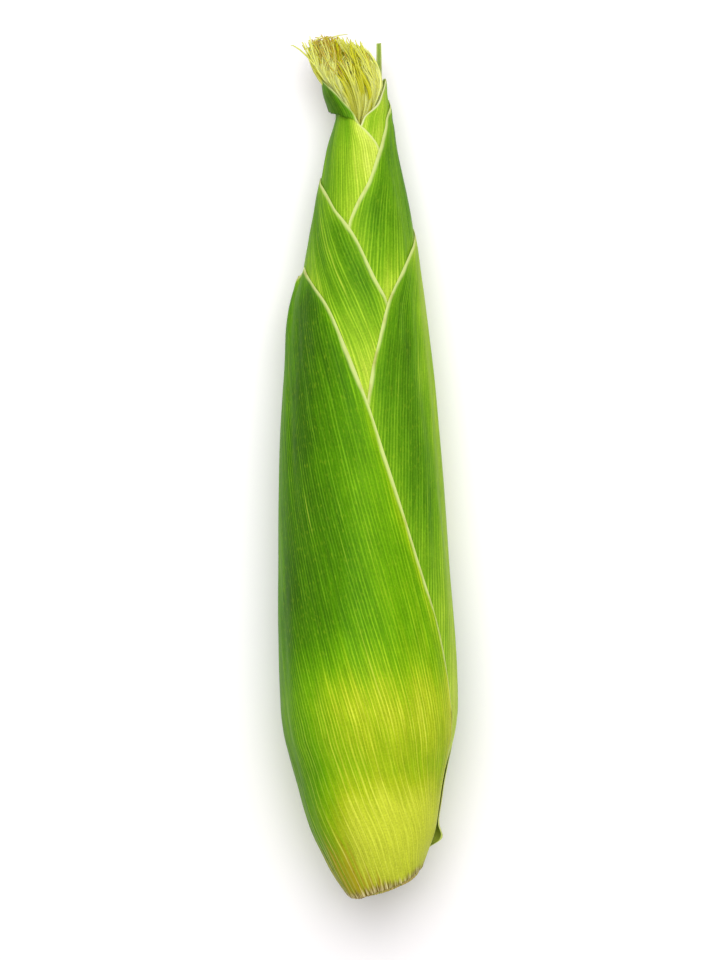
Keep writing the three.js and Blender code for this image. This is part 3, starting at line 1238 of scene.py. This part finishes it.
@dataclass
class BackOuterLeaf(HuskLeaf):
    """The leaf that the ear lies on. Its torn corner sticks out low on the right.

    Attributes:
        corner: Height of the torn corner along the ear.
        jut: How far it sticks out.
    """

    corner: float = 19.5
    jut: float = 3.2

    def standing(self, angle: Array, y: Array, edge: Array) -> Array:
        """Its tip stands off."""
        return 1.2 * smoothstep(170, 200, y)

    def fold(self, angle: Array, y: Array, edge: Array) -> tuple[Array, Array]:
        """Its torn corner flares out.

        Args:
            angle: Degrees round the ear.
            y: Height along the ear.
            edge: Distance from the margin. Not used.

        Returns:
            Extra lift, and extra height along the ear.
        """
        off = y - self.corner
        above = 0.86 * np.exp(-(off / 3.2) ** 2) + 0.14 * np.exp(-(off / 18) ** 2)
        flare = np.where(off < 0, np.exp(-(off / 2.4) ** 2), above) * smoothstep(-236, -266, angle)
        return self.jut * flare, np.zeros_like(flare)

    def pale(self, wrapping: Wrapping, angle: Array, y: Array, edge: Array) -> Array:
        """It pales towards its foot, and its tip has yellowed. Its torn corner is painted much paler, as
        painted light.
        """
        # Painted light: the torn corner low on the right is made much paler, to stand in for the light that
        # falls on it.
        painted_light_corner = smoothstep(-235, -262, angle) * (1 - smoothstep(40, 60, y))
        return 0.3 + 0.45 * (1 - smoothstep(10, 90, y)) + 0.5 * smoothstep(193, 201, y) + 0.9 * painted_light_corner


@dataclass
class CollaredLeaf(HuskLeaf):
    """The leaf whose margin is folded out as a collar, which hangs over its own blade at the mouth.

    Attributes:
        crease: Height of the fold at each angle.
        tone: How yellow the blade is at each angle.
        flare: How far the collar stands off.
        overhang: How far the collar hangs down over the blade.
    """

    crease: Curve = Curve((
        (-170, 258), (-90, 257.4), (-70, 256.2), (-36, 253.8), (-8, 250.5), (12, 247.4), (30, 243)))
    tone: Curve = Curve(((-90, 0.30), (-50, 0.36), (-30, 0.46), (-11, 0.72), (12, 0.84)))
    flare: float = 2.1
    overhang: float = 2.2

    def fold(self, angle: Array, y: Array, edge: Array) -> tuple[Array, Array]:
        """Past the crease the leaf turns out and down over itself, and then goes on up.

        Args:
            angle: Degrees round the ear.
            y: Height along the ear.
            edge: Distance from the margin. Not used.

        Returns:
            Extra lift, and extra height along the ear.
        """
        past = y - self.crease(angle)
        side = 0.28 + 0.72 * (1 - smoothstep(-46, -12, angle))
        near = 1 - smoothstep(-6, 24, angle)
        lift = self.flare * smoothstep(0, 1.5, past) * side * near
        hang = self.overhang + 1.1 * (1 - smoothstep(-80, -50, angle))
        drop = -hang * smoothstep(0.2, 1.3, past) * (1 - smoothstep(1.3, 9, past)) * side * near
        return lift, drop

    def pale(self, wrapping: Wrapping, angle: Array, y: Array, edge: Array) -> Array:
        """Its blade is pale, and its collar, which stood in the light, is dark."""
        return self.tone(angle) * (1 - 0.9 * self.collar(angle, y))

    def collar(self, angle: Array, y: Array) -> Array:
        """How much a place belongs to the collar, from 0 to 1."""
        return smoothstep(0.4, 1.5, y - self.crease(angle)) * (1 - smoothstep(-30, 5, angle))

    def rimmed(self, angle: Array, y: Array, edge: Array) -> Array:
        """The collar's rim is only a thin line."""
        return edge + 0.5 * self.collar(angle, y)


# The frame's silk, whose middle and end are known in the ear's own coordinates, shows where those start.
SILK_MIDDLE_X = -7.0
SILK_END_Y = 281.5
SILK_LOW, SILK_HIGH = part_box("silk_tuft")
ORIGIN = np.array([
    (SILK_LOW.x + SILK_HIGH.x) / 2 / MM - SILK_MIDDLE_X,
    SILK_HIGH.y / MM - SILK_END_Y,
    0.0,
])


# The leaves at the mouth are younger: a fresher, milkier green.
INNER_TONES = ("3a6606", "52880a", "70a314", "92bb24", "b3ce3a", "cadb56")


def husk_leaves() -> list[HuskLeaf]:
    """The eight leaves.

    Returns:
        The leaves, from the innermost to the outermost.
    """
    return [
        HuskLeaf(
            "husk_leaf_back_inner", "husk_leaf_back_inner_sheet", "inner_husk",
            HuskFinish("inner_husk_back"),
            spine=Curve(((0, 178), (200, 178), (246, 160), (264, 128), (278.5, 126))),
            low=Curve(((0, 70), (150, 76), (240, 80), (258, 90), (264, 103), (267, 116.5), (278.5, 117.5))),
            high=Curve(((0, 290), (150, 284), (236, 276), (246, 250), (256, 200), (264, 150), (268, 135),
                        (278.5, 134.5))),
            follow=(200, 200), lag=(0.3, 0.3), seed=11, shown=Hidden.BURIED, own=0.15, shaded=0.1),
        HuskLeaf(
            "husk_leaf_right_inner", "husk_leaf_right_inner_sheet", "inner_husk",
            HuskFinish("inner_husk_right", tones=INNER_TONES, rim="e2dfae", margin=0.38),
            spine=Curve(((0, 80), (200, 84), (240, 92), (268, 110))),
            low=Curve(((0, -60), (120, -45), (200, -30), (240, -16), (252.5, 0), (257.7, 37), (263, 69),
                       (265.2, 84), (266.6, 106))),
            high=Curve(((0, 200), (120, 194), (220, 188), (250, 178), (263, 150), (266.6, 114))),
            follow=(200, 200), lag=(0.55, 0.5), measured_at=200, rim=0.32, seed=23, own=0.45,
            shaded=0.4),
        CollaredLeaf(
            "husk_leaf_left_inner", "husk_leaf_left_inner_sheet", "inner_husk",
            HuskFinish("inner_husk_left", tones=INNER_TONES, margin=0.6),
            spine=Curve(((0, -30), (150, -34), (220, -46), (250, -62), (266.5, -92))),
            low=Curve(((0, -194), (120, -184), (200, -170), (245, -150), (262, -118), (266.5, -98))),
            high=Curve(((0, 90), (100, 72), (180, 58), (220, 46), (243, 30.5), (252, -8.8), (258.5, -31),
                        (261.7, -43), (264, -62), (266.5, -88))),
            follow=(200, 200), lag=(0.55, 0.55), measured_at=215, seed=37),
        HuskLeaf(
            "husk_leaf_right_middle", "husk_leaf_right_middle_sheet", "middle_husk",
            HuskFinish("middle_husk_right", tones=INNER_TONES),
            spine=Curve(((0, 70), (150, 78), (220, 88), (259.5, 104))),
            low=Curve(((0, -58), (80, -46), (150, -34), (217.8, -16), (224, -9), (233, 10), (240, 23),
                       (244, 32.5), (249, 45), (253, 56), (259.5, 98))),
            high=Curve(((0, 204), (100, 196), (180, 186), (225, 165), (250, 130), (259.5, 108))),
            follow=(180, 180), lag=(0.6, 0.6), measured_at=215, seed=41, own=0.27, shaded=0.5),
        HuskLeaf(
            "husk_leaf_left_middle", "husk_leaf_left_middle_sheet", "middle_husk",
            HuskFinish("middle_husk_left", tones=INNER_TONES),
            spine=Curve(((0, 40), (130, 24), (160, 12), (178, 0), (197, -25), (215, -58), (234, -94))),
            low=Curve(((0, -180), (60, -172), (130, -160), (190, -140), (222, -118), (234, -97))),
            high=Curve(((0, 104), (60, 84), (130, 58), (160, 45), (193, 26), (199.6, 16), (205.4, 7.4),
                        (212.6, -4), (217.8, -16), (223, -35), (228, -53), (234, -91))),
            follow=(150, 150), lag=(0.4, 0.7), measured_at=190, seed=53, own=0.28, shaded=0.55),
        HuskLeaf(
            "husk_leaf_right_outer", "husk_leaf_right_outer_sheet", "outer_husk",
            HuskFinish("outer_husk_right", tones=INNER_TONES),
            spine=Curve(((0, 84), (100, 90), (180, 100), (220, 115))),
            low=Curve(((0, -50), (60, -28), (120, -6), (161.5, 6.3), (171, 10), (179, 15.3), (186, 20),
                       (193, 26), (201, 40), (206, 51), (211, 67), (220, 111))),
            high=Curve(((0, 214), (60, 211), (120, 203), (170, 184), (205, 148), (220, 119))),
            follow=(100, 100), lag=(0.7, 0.6), measured_at=130, seed=61, own=0.18, shaded=0.45,
            # Painted light: its right edge is made yellower and so lighter, standing in for the light and
            # sheen on that side.
            turned=Curve(((46, 0), (58, 0.18), (70, 0.40), (85, 0.48)))),
        BackOuterLeaf(
            "husk_leaf_back_outer", "husk_leaf_back_outer_sheet", "outer_husk",
            HuskFinish("outer_husk_back", fray=0.8),
            spine=Curve(((0, -140), (60, -150), (120, -140), (170, -116), (202, -100))),
            low=Curve(((0, -236), (13.5, -246), (18.6, -268), (32, -270), (46, -267), (60, -257), (95, -243),
                       (120, -226), (140, -206), (160, -180), (180, -150), (194, -124), (202, -105))),
            high=Curve(((0, -35), (60, -45), (120, -60), (170, -78), (202, -94))),
            follow=(60, 60), lag=(0.8, 0.7), measured_at=80, seed=71, foot_short=0.5, foot_rag=0.12),
        OuterLeftLeaf(
            "husk_leaf_left_outer", "husk_leaf_left_outer_sheet", "outer_husk",
            HuskFinish("outer_husk_left", streak=0.8, fray=0.8, parched=("a3941c", "dace74")),
            spine=Curve(((0, 84), (15, 60), (35, 34), (48, 23), (61, 15), (120, -17), (165, -42),
                         (192, -64), (204.5, -77))),
            low=Curve(((0, -86), (30, -90), (45, -98), (70, -118), (100, -132), (140, -134), (170, -124),
                       (196, -100), (204.5, -79))),
            high=Curve(((0, 104), (20, 87), (35, 81), (46, 76.5), (60, 68), (84, 56), (116, 35.5),
                        (144, 17.5), (161, 6), (179, -11), (192, -29), (204.5, -75))),
            follow=(0, 60), lag=(0.0, 0.7), twist=0.8, measured_at=80, seed=83, foot_rag=0.08),
    ]


# ---------------------------------------------------------------------------
# Silk, cob and shank
# ---------------------------------------------------------------------------


@dataclass(frozen=True)
class Lock:
    """A lock of silk, whose strands run side by side.

    Attributes:
        across: Its place across the brush, from -1 to 1.
        level: Its level in the brush, from -1 to 1.
        reach: Its share of the brush's length.
        drift: How it drifts across and up.
        turns: How often it bends across and up.
        phases: Where those bends start.
        swings: How wide they are.
    """

    across: float
    level: float
    reach: float
    drift: Array
    turns: Array
    phases: Array
    swings: Array


@dataclass
class SilkTuft:
    """The brush of silk: several hundred strands in locks that come out of the husk's mouth.

    The strands follow the brush's own lines, which run from its root to its end between a left and
    a right side.

    Attributes:
        locks: How many locks there are.
        strands: How many strands in a lock.
        steps: Segments in a strand.
        sides: Sides of a strand.
        thickness: Radius of a strand.
        left: Places along the left side, from the root to the end, in the ear's own coordinates.
        right: The same along the right side.
        depth: Half the brush's depth at each share of its length.
        height: Height of its middle over the table at each share of its length.
        crown: How far the middle of its end stands beyond its sides.
        pallor: How pale its strands are at each place across it.
        strays: Share of the strands that stray from their lock.
        seed: Sets the strands.
    """

    locks: int = 108
    strands: int = 8
    steps: int = 18
    sides: int = 5
    thickness: float = 0.34
    left: tuple[tuple[float, float], ...] = (
        (-3.2, 243.0), (-4.0, 250.0), (-7.2, 256.5), (-11.6, 262.6), (-15.9, 269.4), (-18.8, 277.4))
    right: tuple[tuple[float, float], ...] = (
        (-0.2, 243.0), (-0.6, 250.0), (3.4, 256.5), (5.4, 263.2), (4.2, 269.6), (1.0, 275.0))
    depth: Curve = Curve(((0, 2.2), (0.25, 2.8), (0.5, 3.8), (0.75, 4.6), (1, 4.6)))
    height: Curve = Curve(((0, 20.9), (0.25, 21.5), (0.5, 22.0), (1, 22.6)))
    crown: float = 2.6
    pallor: Curve = Curve(((-1, 0.8), (-0.6, 0.55), (-0.3, 0.15), (0.1, 0.15), (0.4, 0.6), (1, 0.75)))
    strays: float = 0.07
    seed: int = 5
    made: bpy.types.Object | None = field(default=None, repr=False)

    def __post_init__(self) -> None:
        """Turns the two sides into curves of the share of the length."""
        shares = np.linspace(0, 1, len(self.left))
        self.sides_xy = [
            [Curve(tuple(zip(shares, values))) for values in zip(*side)] for side in (self.left, self.right)]

    def build(self) -> bpy.types.Object:
        """Makes the strands.

        Returns:
            The tuft's object.
        """
        rng = np.random.default_rng(self.seed)
        t = np.linspace(0, 1, self.steps)
        rings = []
        values = {"along": [], "tone": [], "painted_shade": [], "dried": []}
        for _ in range(self.locks):
            across = math.sin(rng.uniform(-0.5, 0.5) * math.pi) * 0.95
            level = rng.uniform(-1, 1)
            lock = Lock(
                across, level, rng.uniform(0.84, 1.08) - 0.10 * max(level, 0),
                rng.normal(0, 1, 2) * np.array([0.16, 0.20]), rng.uniform(0.8, 2.2, 2),
                rng.uniform(0, 2, 2), rng.normal(0, 1, 2) * np.array([0.35, 0.42]))
            own_tone = self.pallor(across) + rng.normal(0, 0.3)
            # Locks low in the brush get painted shade: their strands are mixed towards the darker olive.
            lock_shade = float(smoothstep(0.1, -0.9, level)) * 0.8
            for k in range(self.strands):
                line, dryness = self._strand(rng, t, lock, k / (self.strands - 1) - 0.5)
                rings.append(self._tube(rng, line, t))
                values["along"].append(np.repeat(t, self.sides))
                tone = np.clip(own_tone + rng.normal(0, 0.09), 0, 1)
                values["tone"].append(np.full(self.steps * self.sides, tone))
                values["painted_shade"].append(np.full(self.steps * self.sides, lock_shade))
                values["dried"].append(np.repeat(dryness, self.sides))
        each = self.steps * self.sides
        body = grid_faces(self.steps, self.sides, closed=True)
        start = np.arange(len(rings))[:, None, None] * each
        quads = (start + body).reshape(-1, 4)
        cap = np.arange(self.sides)
        caps = np.stack([cap[::-1], each - self.sides + cap])
        fives = (start + caps).reshape(-1, self.sides)
        points = np.concatenate(rings)
        attributes = {label: np.concatenate(parts) for label, parts in values.items()}
        self.made = mesh_object("silk_strands", (points + ORIGIN) * MM, [quads, fives], attributes)
        return self.made

    def _place(self, across: Array, level: Array, share: Array) -> Array:
        """A point in the brush.

        Args:
            across: From -1 on its left side to 1 on its right side.
            level: From -1 at its bottom to 1 at its top.
            share: Share of its length.

        Returns:
            Points in the ear's own coordinates.
        """
        (left_x, left_y), (right_x, right_y) = self.sides_xy
        half = (across + 1) / 2
        x = left_x(share) * (1 - half) + right_x(share) * half
        y = left_y(share) * (1 - half) + right_y(share) * half
        y = y + self.crown * share ** 2 * (1 - np.minimum(across * across, 1))
        z = self.height(share) + level * self.depth(share) * np.sqrt(np.maximum(1 - across * across, 0.04))
        return np.stack([x, y, z], -1)

    def _strand(self, rng: np.random.Generator, t: Array, lock: Lock, beside: float) -> tuple[Array, Array]:
        """One strand's line, from inside the mouth to its end.

        Args:
            rng: The source of its wander.
            t: Places along it.
            lock: The lock it belongs to.
            beside: Its place across the lock, from -0.5 to 0.5.

        Returns:
            The line's points and how dry it is at each.
        """
        stray = rng.random() < self.strays
        loose = 2.1 if stray else 1.0
        own = rng.normal(0, 0.02, 2) * loose
        share = t * lock.reach * (1 + rng.normal(0, 0.03) + (0.09 if stray else 0))
        bend = np.sin(np.pi * (t[:, None] * lock.turns + lock.phases)) * (t ** 1.3)[:, None] * lock.swings
        frizz = np.sin(np.pi * (t * rng.uniform(1.5, 4.0) + rng.uniform(0, 2))) * t ** 2 * 0.04 * loose
        open_up = 0.4 + 0.9 * t
        s = lock.across + lock.drift[0] * t + (own[0] + 0.12 * beside) * open_up + bend[:, 0] + frizz
        v = lock.level + lock.drift[1] * t + own[1] * 2 * open_up + bend[:, 1]
        wide = np.where(s < 0, 1.22, 1.0) if stray else 1.0
        line = self._place(s / (1 + np.abs(s / wide) ** 6) ** (1 / 6), v, np.minimum(share, 1.14))
        hook = rng.normal(0, 1, 3) * np.array([1.0, 0.5, 0.8]) * loose
        if s[-1] > 0.3:
            hook[0] = -abs(hook[0])
        line = line + hook * smoothstep(0.72, 1.0, t)[:, None] ** 1.5
        browned = 0.7 * smoothstep(0.15, -0.35, s[-1]) * smoothstep(-1.05, -0.6, s[-1]) + 0.04
        dryness = smoothstep(rng.uniform(0.72, 0.92), 1.02, t) * (rng.random() < browned)
        return line, dryness

    def _tube(self, rng: np.random.Generator, line: Array, t: Array) -> Array:
        """The corners round a strand's line.

        Args:
            rng: The source of its roll.
            line: Its points.
            t: Places along it.

        Returns:
            Corners, one ring after another.
        """
        along = np.gradient(line, axis=0)
        along /= np.linalg.norm(along, axis=1, keepdims=True)
        side = np.cross(along, [0.0, 0.0, 1.0])
        side /= np.linalg.norm(side, axis=1, keepdims=True)
        over = np.cross(side, along)
        width = self.thickness * rng.uniform(0.7, 1.3) * (1 - 0.7 * t ** 4)[:, None, None]
        roll = rng.uniform(0, 3.1)
        turns = roll + np.arange(self.sides) * 2 * np.pi / self.sides
        flat = np.cos(turns)[None, :, None] * side[:, None] * 1.25
        thick = np.sin(turns)[None, :, None] * over[:, None] * 0.85
        return (line[:, None] + width * (flat + thick)).reshape(-1, 3)

    def dress(self) -> None:
        """Gives the silk its surface and its place in the frame."""
        self.made.data.materials.append(SilkFinish().material())
        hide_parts("silk_tuft")
        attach(self.made, "root")


@dataclass
class Cob:
    """The cob with its rows of kernels, inside the husk.

    Attributes:
        rows: How many rows of kernels run round it.
        kernel_length: Length of a kernel along the cob.
        bulge: How far a kernel's crown stands over the grooves.
        samples: Corners across one kernel each way.
        husk: Thickness of husk and air over the kernels.
        nose: Where the cob starts to narrow towards its nose.
    """

    rows: int = 16
    kernel_length: float = 4.9
    bulge: float = 1.7
    samples: int = 8
    husk: float = 6.3
    nose: float = 198.0
    made: bpy.types.Object | None = field(default=None, repr=False)

    def build(self) -> bpy.types.Object:
        """Makes the cob, as wide and as long as its frame node.

        Returns:
            The cob's object.
        """
        low, high = (np.array(corner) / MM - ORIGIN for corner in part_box("cob"))
        y = np.arange(low[1], high[1] + 1e-6, self.kernel_length / self.samples)
        turn = np.linspace(0, 360, self.rows * self.samples, endpoint=False)
        turn, y = np.meshgrid(turn, y)
        radius = FORM.girth(y) - self.husk
        nose = smoothstep(self.nose, high[1], y)
        foot = smoothstep(low[1], low[1] + 9, y)
        radius = radius * (1 - 0.72 * nose ** 1.5) * (0.62 + 0.38 * foot)
        across = turn / 360 * self.rows
        up = (y - low[1]) / self.kernel_length + 0.5 * (np.floor(across) % 2)
        dome = np.abs(np.cos(np.pi * (across - np.floor(across) - 0.5))) ** 0.55
        dome = dome * np.abs(np.cos(np.pi * (up - np.floor(up) - 0.5))) ** 0.5
        radius = radius - self.bulge * (1 - dome) * (1 - 0.8 * nose)
        angle = np.radians(turn)
        height = FORM.axis_height(y) + radius * np.cos(angle)
        points = np.stack([FORM.sway(y) + radius * np.sin(angle), y, np.maximum(height, low[2])], -1)
        ends = [points[0].mean(0), points[-1].mean(0)]
        faces = capped_faces(*turn.shape)
        flat = np.concatenate([points.reshape(-1, 3), ends])
        crown = np.concatenate([dome.ravel(), [0, 0]])
        self.made = mesh_object("cob_with_kernels", (flat + ORIGIN) * MM, faces, {"crown": crown})
        return self.made

    def dress(self) -> None:
        """Gives the cob its surface and its place in the frame."""
        self.made.data.materials.append(KernelFinish().material())
        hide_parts("cob")
        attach(self.made, "root")


@dataclass
class Shank:
    """The cut stub of stalk at the butt, which fills the husk's bore, with its rough sawn face.

    Attributes:
        length: How far it runs into the husk.
        rings: Rings of corners across its cut face.
        sides: Corners round it.
        roughness: How uneven the cut face is.
        clearance: Air between it and the innermost leaf.
    """

    length: float = 11.0
    rings: int = 22
    sides: int = 96
    roughness: float = 0.14
    clearance: float = 0.08
    made: bpy.types.Object | None = field(default=None, repr=False)

    def build(self, wrapping: Wrapping) -> bpy.types.Object:
        """Makes the stub.

        Args:
            wrapping: The settled husk.

        Returns:
            The shank's object.
        """
        rng = np.random.default_rng(9)
        turn = np.linspace(0, 360, self.sides, endpoint=False)

        def bore(y: Array) -> Array:
            """Inside radius of the innermost leaf."""
            return FORM.girth(y) - wrapping.read(wrapping.settled, turn + np.zeros_like(y), y)

        end_y = FORM.butt_y + self.length
        edge_y = FORM.butt_cut(turn, bore(np.full_like(turn, NEAR_CUT)))
        edge = bore(edge_y)
        share = np.linspace(0.04, 1, self.rings)[:, None]
        radius = edge * share
        angle = turn + np.zeros_like(radius)
        uneven = rng.normal(0, self.roughness, radius.shape)
        face_y = FORM.butt_cut(angle, radius) + uneven * (1 - share ** 6) + 0.4 * (1 - share ** 2)
        face_y[-1] = edge_y
        face = self._place(angle, face_y, radius)
        wall_share = np.linspace(0.08, 1, 10)[:, None]
        wall_y = edge_y + (end_y - edge_y) * wall_share
        wall = self._place(turn + np.zeros_like(wall_y), wall_y, bore(wall_y) - self.clearance)
        rings = np.concatenate([face, wall])
        centre = self._place(np.zeros(1), FORM.butt_cut(np.zeros(1), 0.0) + 0.4, np.zeros(1))
        top = self._place(np.zeros(1), np.full(1, end_y), np.zeros(1))
        faces = capped_faces(*rings.shape[:2])
        across = share + np.zeros_like(angle)
        radial = np.concatenate([across.ravel(), np.ones(wall.shape[:2]).ravel(), [0, 1]])
        points = np.concatenate([rings.reshape(-1, 3), centre, top])
        self.made = mesh_object("shank_stub", (points + ORIGIN) * MM, faces, {"radial": radial})
        return self.made

    @staticmethod
    def _place(angle: Array, y: Array, radius: Array) -> Array:
        """Points round the ear's axis.

        Args:
            angle: Degrees round the ear.
            y: Height along the ear.
            radius: Distance from the axis.

        Returns:
            Points in millimetres.
        """
        turn = np.radians(angle)
        x = FORM.sway(y) + radius * np.sin(turn)
        return np.stack([x, y + np.zeros_like(x), FORM.axis_height(y) + radius * np.cos(turn)], -1)

    def dress(self) -> None:
        """Gives the shank its surface and its place in the frame."""
        self.made.data.materials.append(StalkFinish().material())
        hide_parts("shank")
        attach(self.made, "root")


# ---------------------------------------------------------------------------
# Studio
# ---------------------------------------------------------------------------


@dataclass
class Studio:
    """A pale floor, soft light from above and a camera that looks straight down.

    Attributes:
        softbox: Where the light hangs, in metres.
        softbox_size: Length of its side, in metres.
        softbox_power: Its power in watts.
        ambient: Strength of the even light from all round.
        view_height: Height of the picture on the ear's level, in millimetres.
        distance: Distance of the camera over that level.
        level: Height of that level over the floor.
        aim: The point of the ear's own coordinates at the picture's centre.
    """

    softbox: tuple[float, float, float] = (0.01, 0.38, 1.25)
    softbox_size: float = 1.0
    softbox_power: float = 15.2
    ambient: float = 0.51
    view_height: float = 312.0
    distance: float = 1500.0
    level: float = 25.0
    aim: tuple[float, float] = (-1.95, 135.5)

    def build(self) -> None:
        """Makes the floor, the lights, the world and the camera."""
        self._floor()
        self._light()
        self._world()
        self._camera()
        settings = bpy.context.scene.view_settings
        settings.view_transform = "Standard"
        settings.look = "None"

    def _floor(self) -> None:
        """A large plain floor."""
        half = 3.0  # metres
        corners = np.array([(-half, -half, 0), (half, -half, 0), (half, half, 0), (-half, half, 0)])
        floor = mesh_object("floor", corners, [np.array([[0, 1, 2, 3]])], {})
        g = Graph("matt_white_paper")
        # Paper grain about 1 mm across, too faint to see as a colour.
        place = g.add("TexCoord").outputs["Object"]
        grain = g.add("TexNoise", Vector=place, Scale=1 / (1 * MM), Detail=2.0).outputs[0]
        bump = g.add("Bump", Strength=0.05, Distance=0.0001, Height=grain)
        surface = g.add("BsdfPrincipled", Base_Color=linear("fbf8fa"), Roughness=0.9, Normal=bump,
                        Specular_IOR_Level=0.2)
        g.add("OutputMaterial", Surface=surface)
        floor.data.materials.append(g.material)

    def _light(self) -> None:
        """A square softbox that faces the ear."""
        data = bpy.data.lights.new("overhead", "AREA")
        data.shape = "SQUARE"
        data.size = self.softbox_size
        data.energy = self.softbox_power
        light = bpy.data.objects.new("overhead", data)
        light.location = self.softbox
        light.rotation_euler = (-Vector(self.softbox)).to_track_quat("-Z", "Y").to_euler()
        bpy.context.scene.collection.objects.link(light)

    def _world(self) -> None:
        """Even white light from all round."""
        world = bpy.data.worlds.new("studio_white")
        world.use_nodes = True
        background = world.node_tree.nodes["Background"]
        background.inputs["Color"].default_value = (1, 1, 1, 1)
        background.inputs["Strength"].default_value = self.ambient
        bpy.context.scene.world = world

    def _camera(self) -> None:
        """A long lens, straight above."""
        data = bpy.data.cameras.new("camera")
        data.sensor_width = 36.0
        data.lens = data.sensor_width * self.distance / self.view_height
        data.clip_end = 20.0
        camera = bpy.data.objects.new("camera", data)
        camera.location = (
            (self.aim[0] + ORIGIN[0]) * MM, (self.aim[1] + ORIGIN[1]) * MM, (self.level + self.distance) * MM)
        bpy.context.scene.collection.objects.link(camera)
        bpy.context.scene.camera = camera


# ---------------------------------------------------------------------------
# The scene
# ---------------------------------------------------------------------------


def report(piece: bpy.types.Object) -> None:
    """Logs a finished piece."""
    LOG.info("%s: %d corners, %d faces", piece.name, len(piece.data.vertices), len(piece.data.polygons))


def main() -> None:
    """Builds every piece in order, from the inside out, and then the studio."""
    logging.basicConfig(level=logging.INFO, format="%(message)s")
    leaves = husk_leaves()
    wrapping = Wrapping()
    for leaf in leaves:
        leaf.lay(wrapping)
    wrapping.settle()
    shank = Shank()
    shank.build(wrapping)
    shank.dress()
    report(shank.made)
    for part in (Cob(), SilkTuft()):
        part.build()
        part.dress()
        report(part.made)
    for leaf in leaves:
        leaf.build(wrapping)
        leaf.dress()
        report(leaf.made)
    Studio().build()


if __name__ == "__main__":
    main()
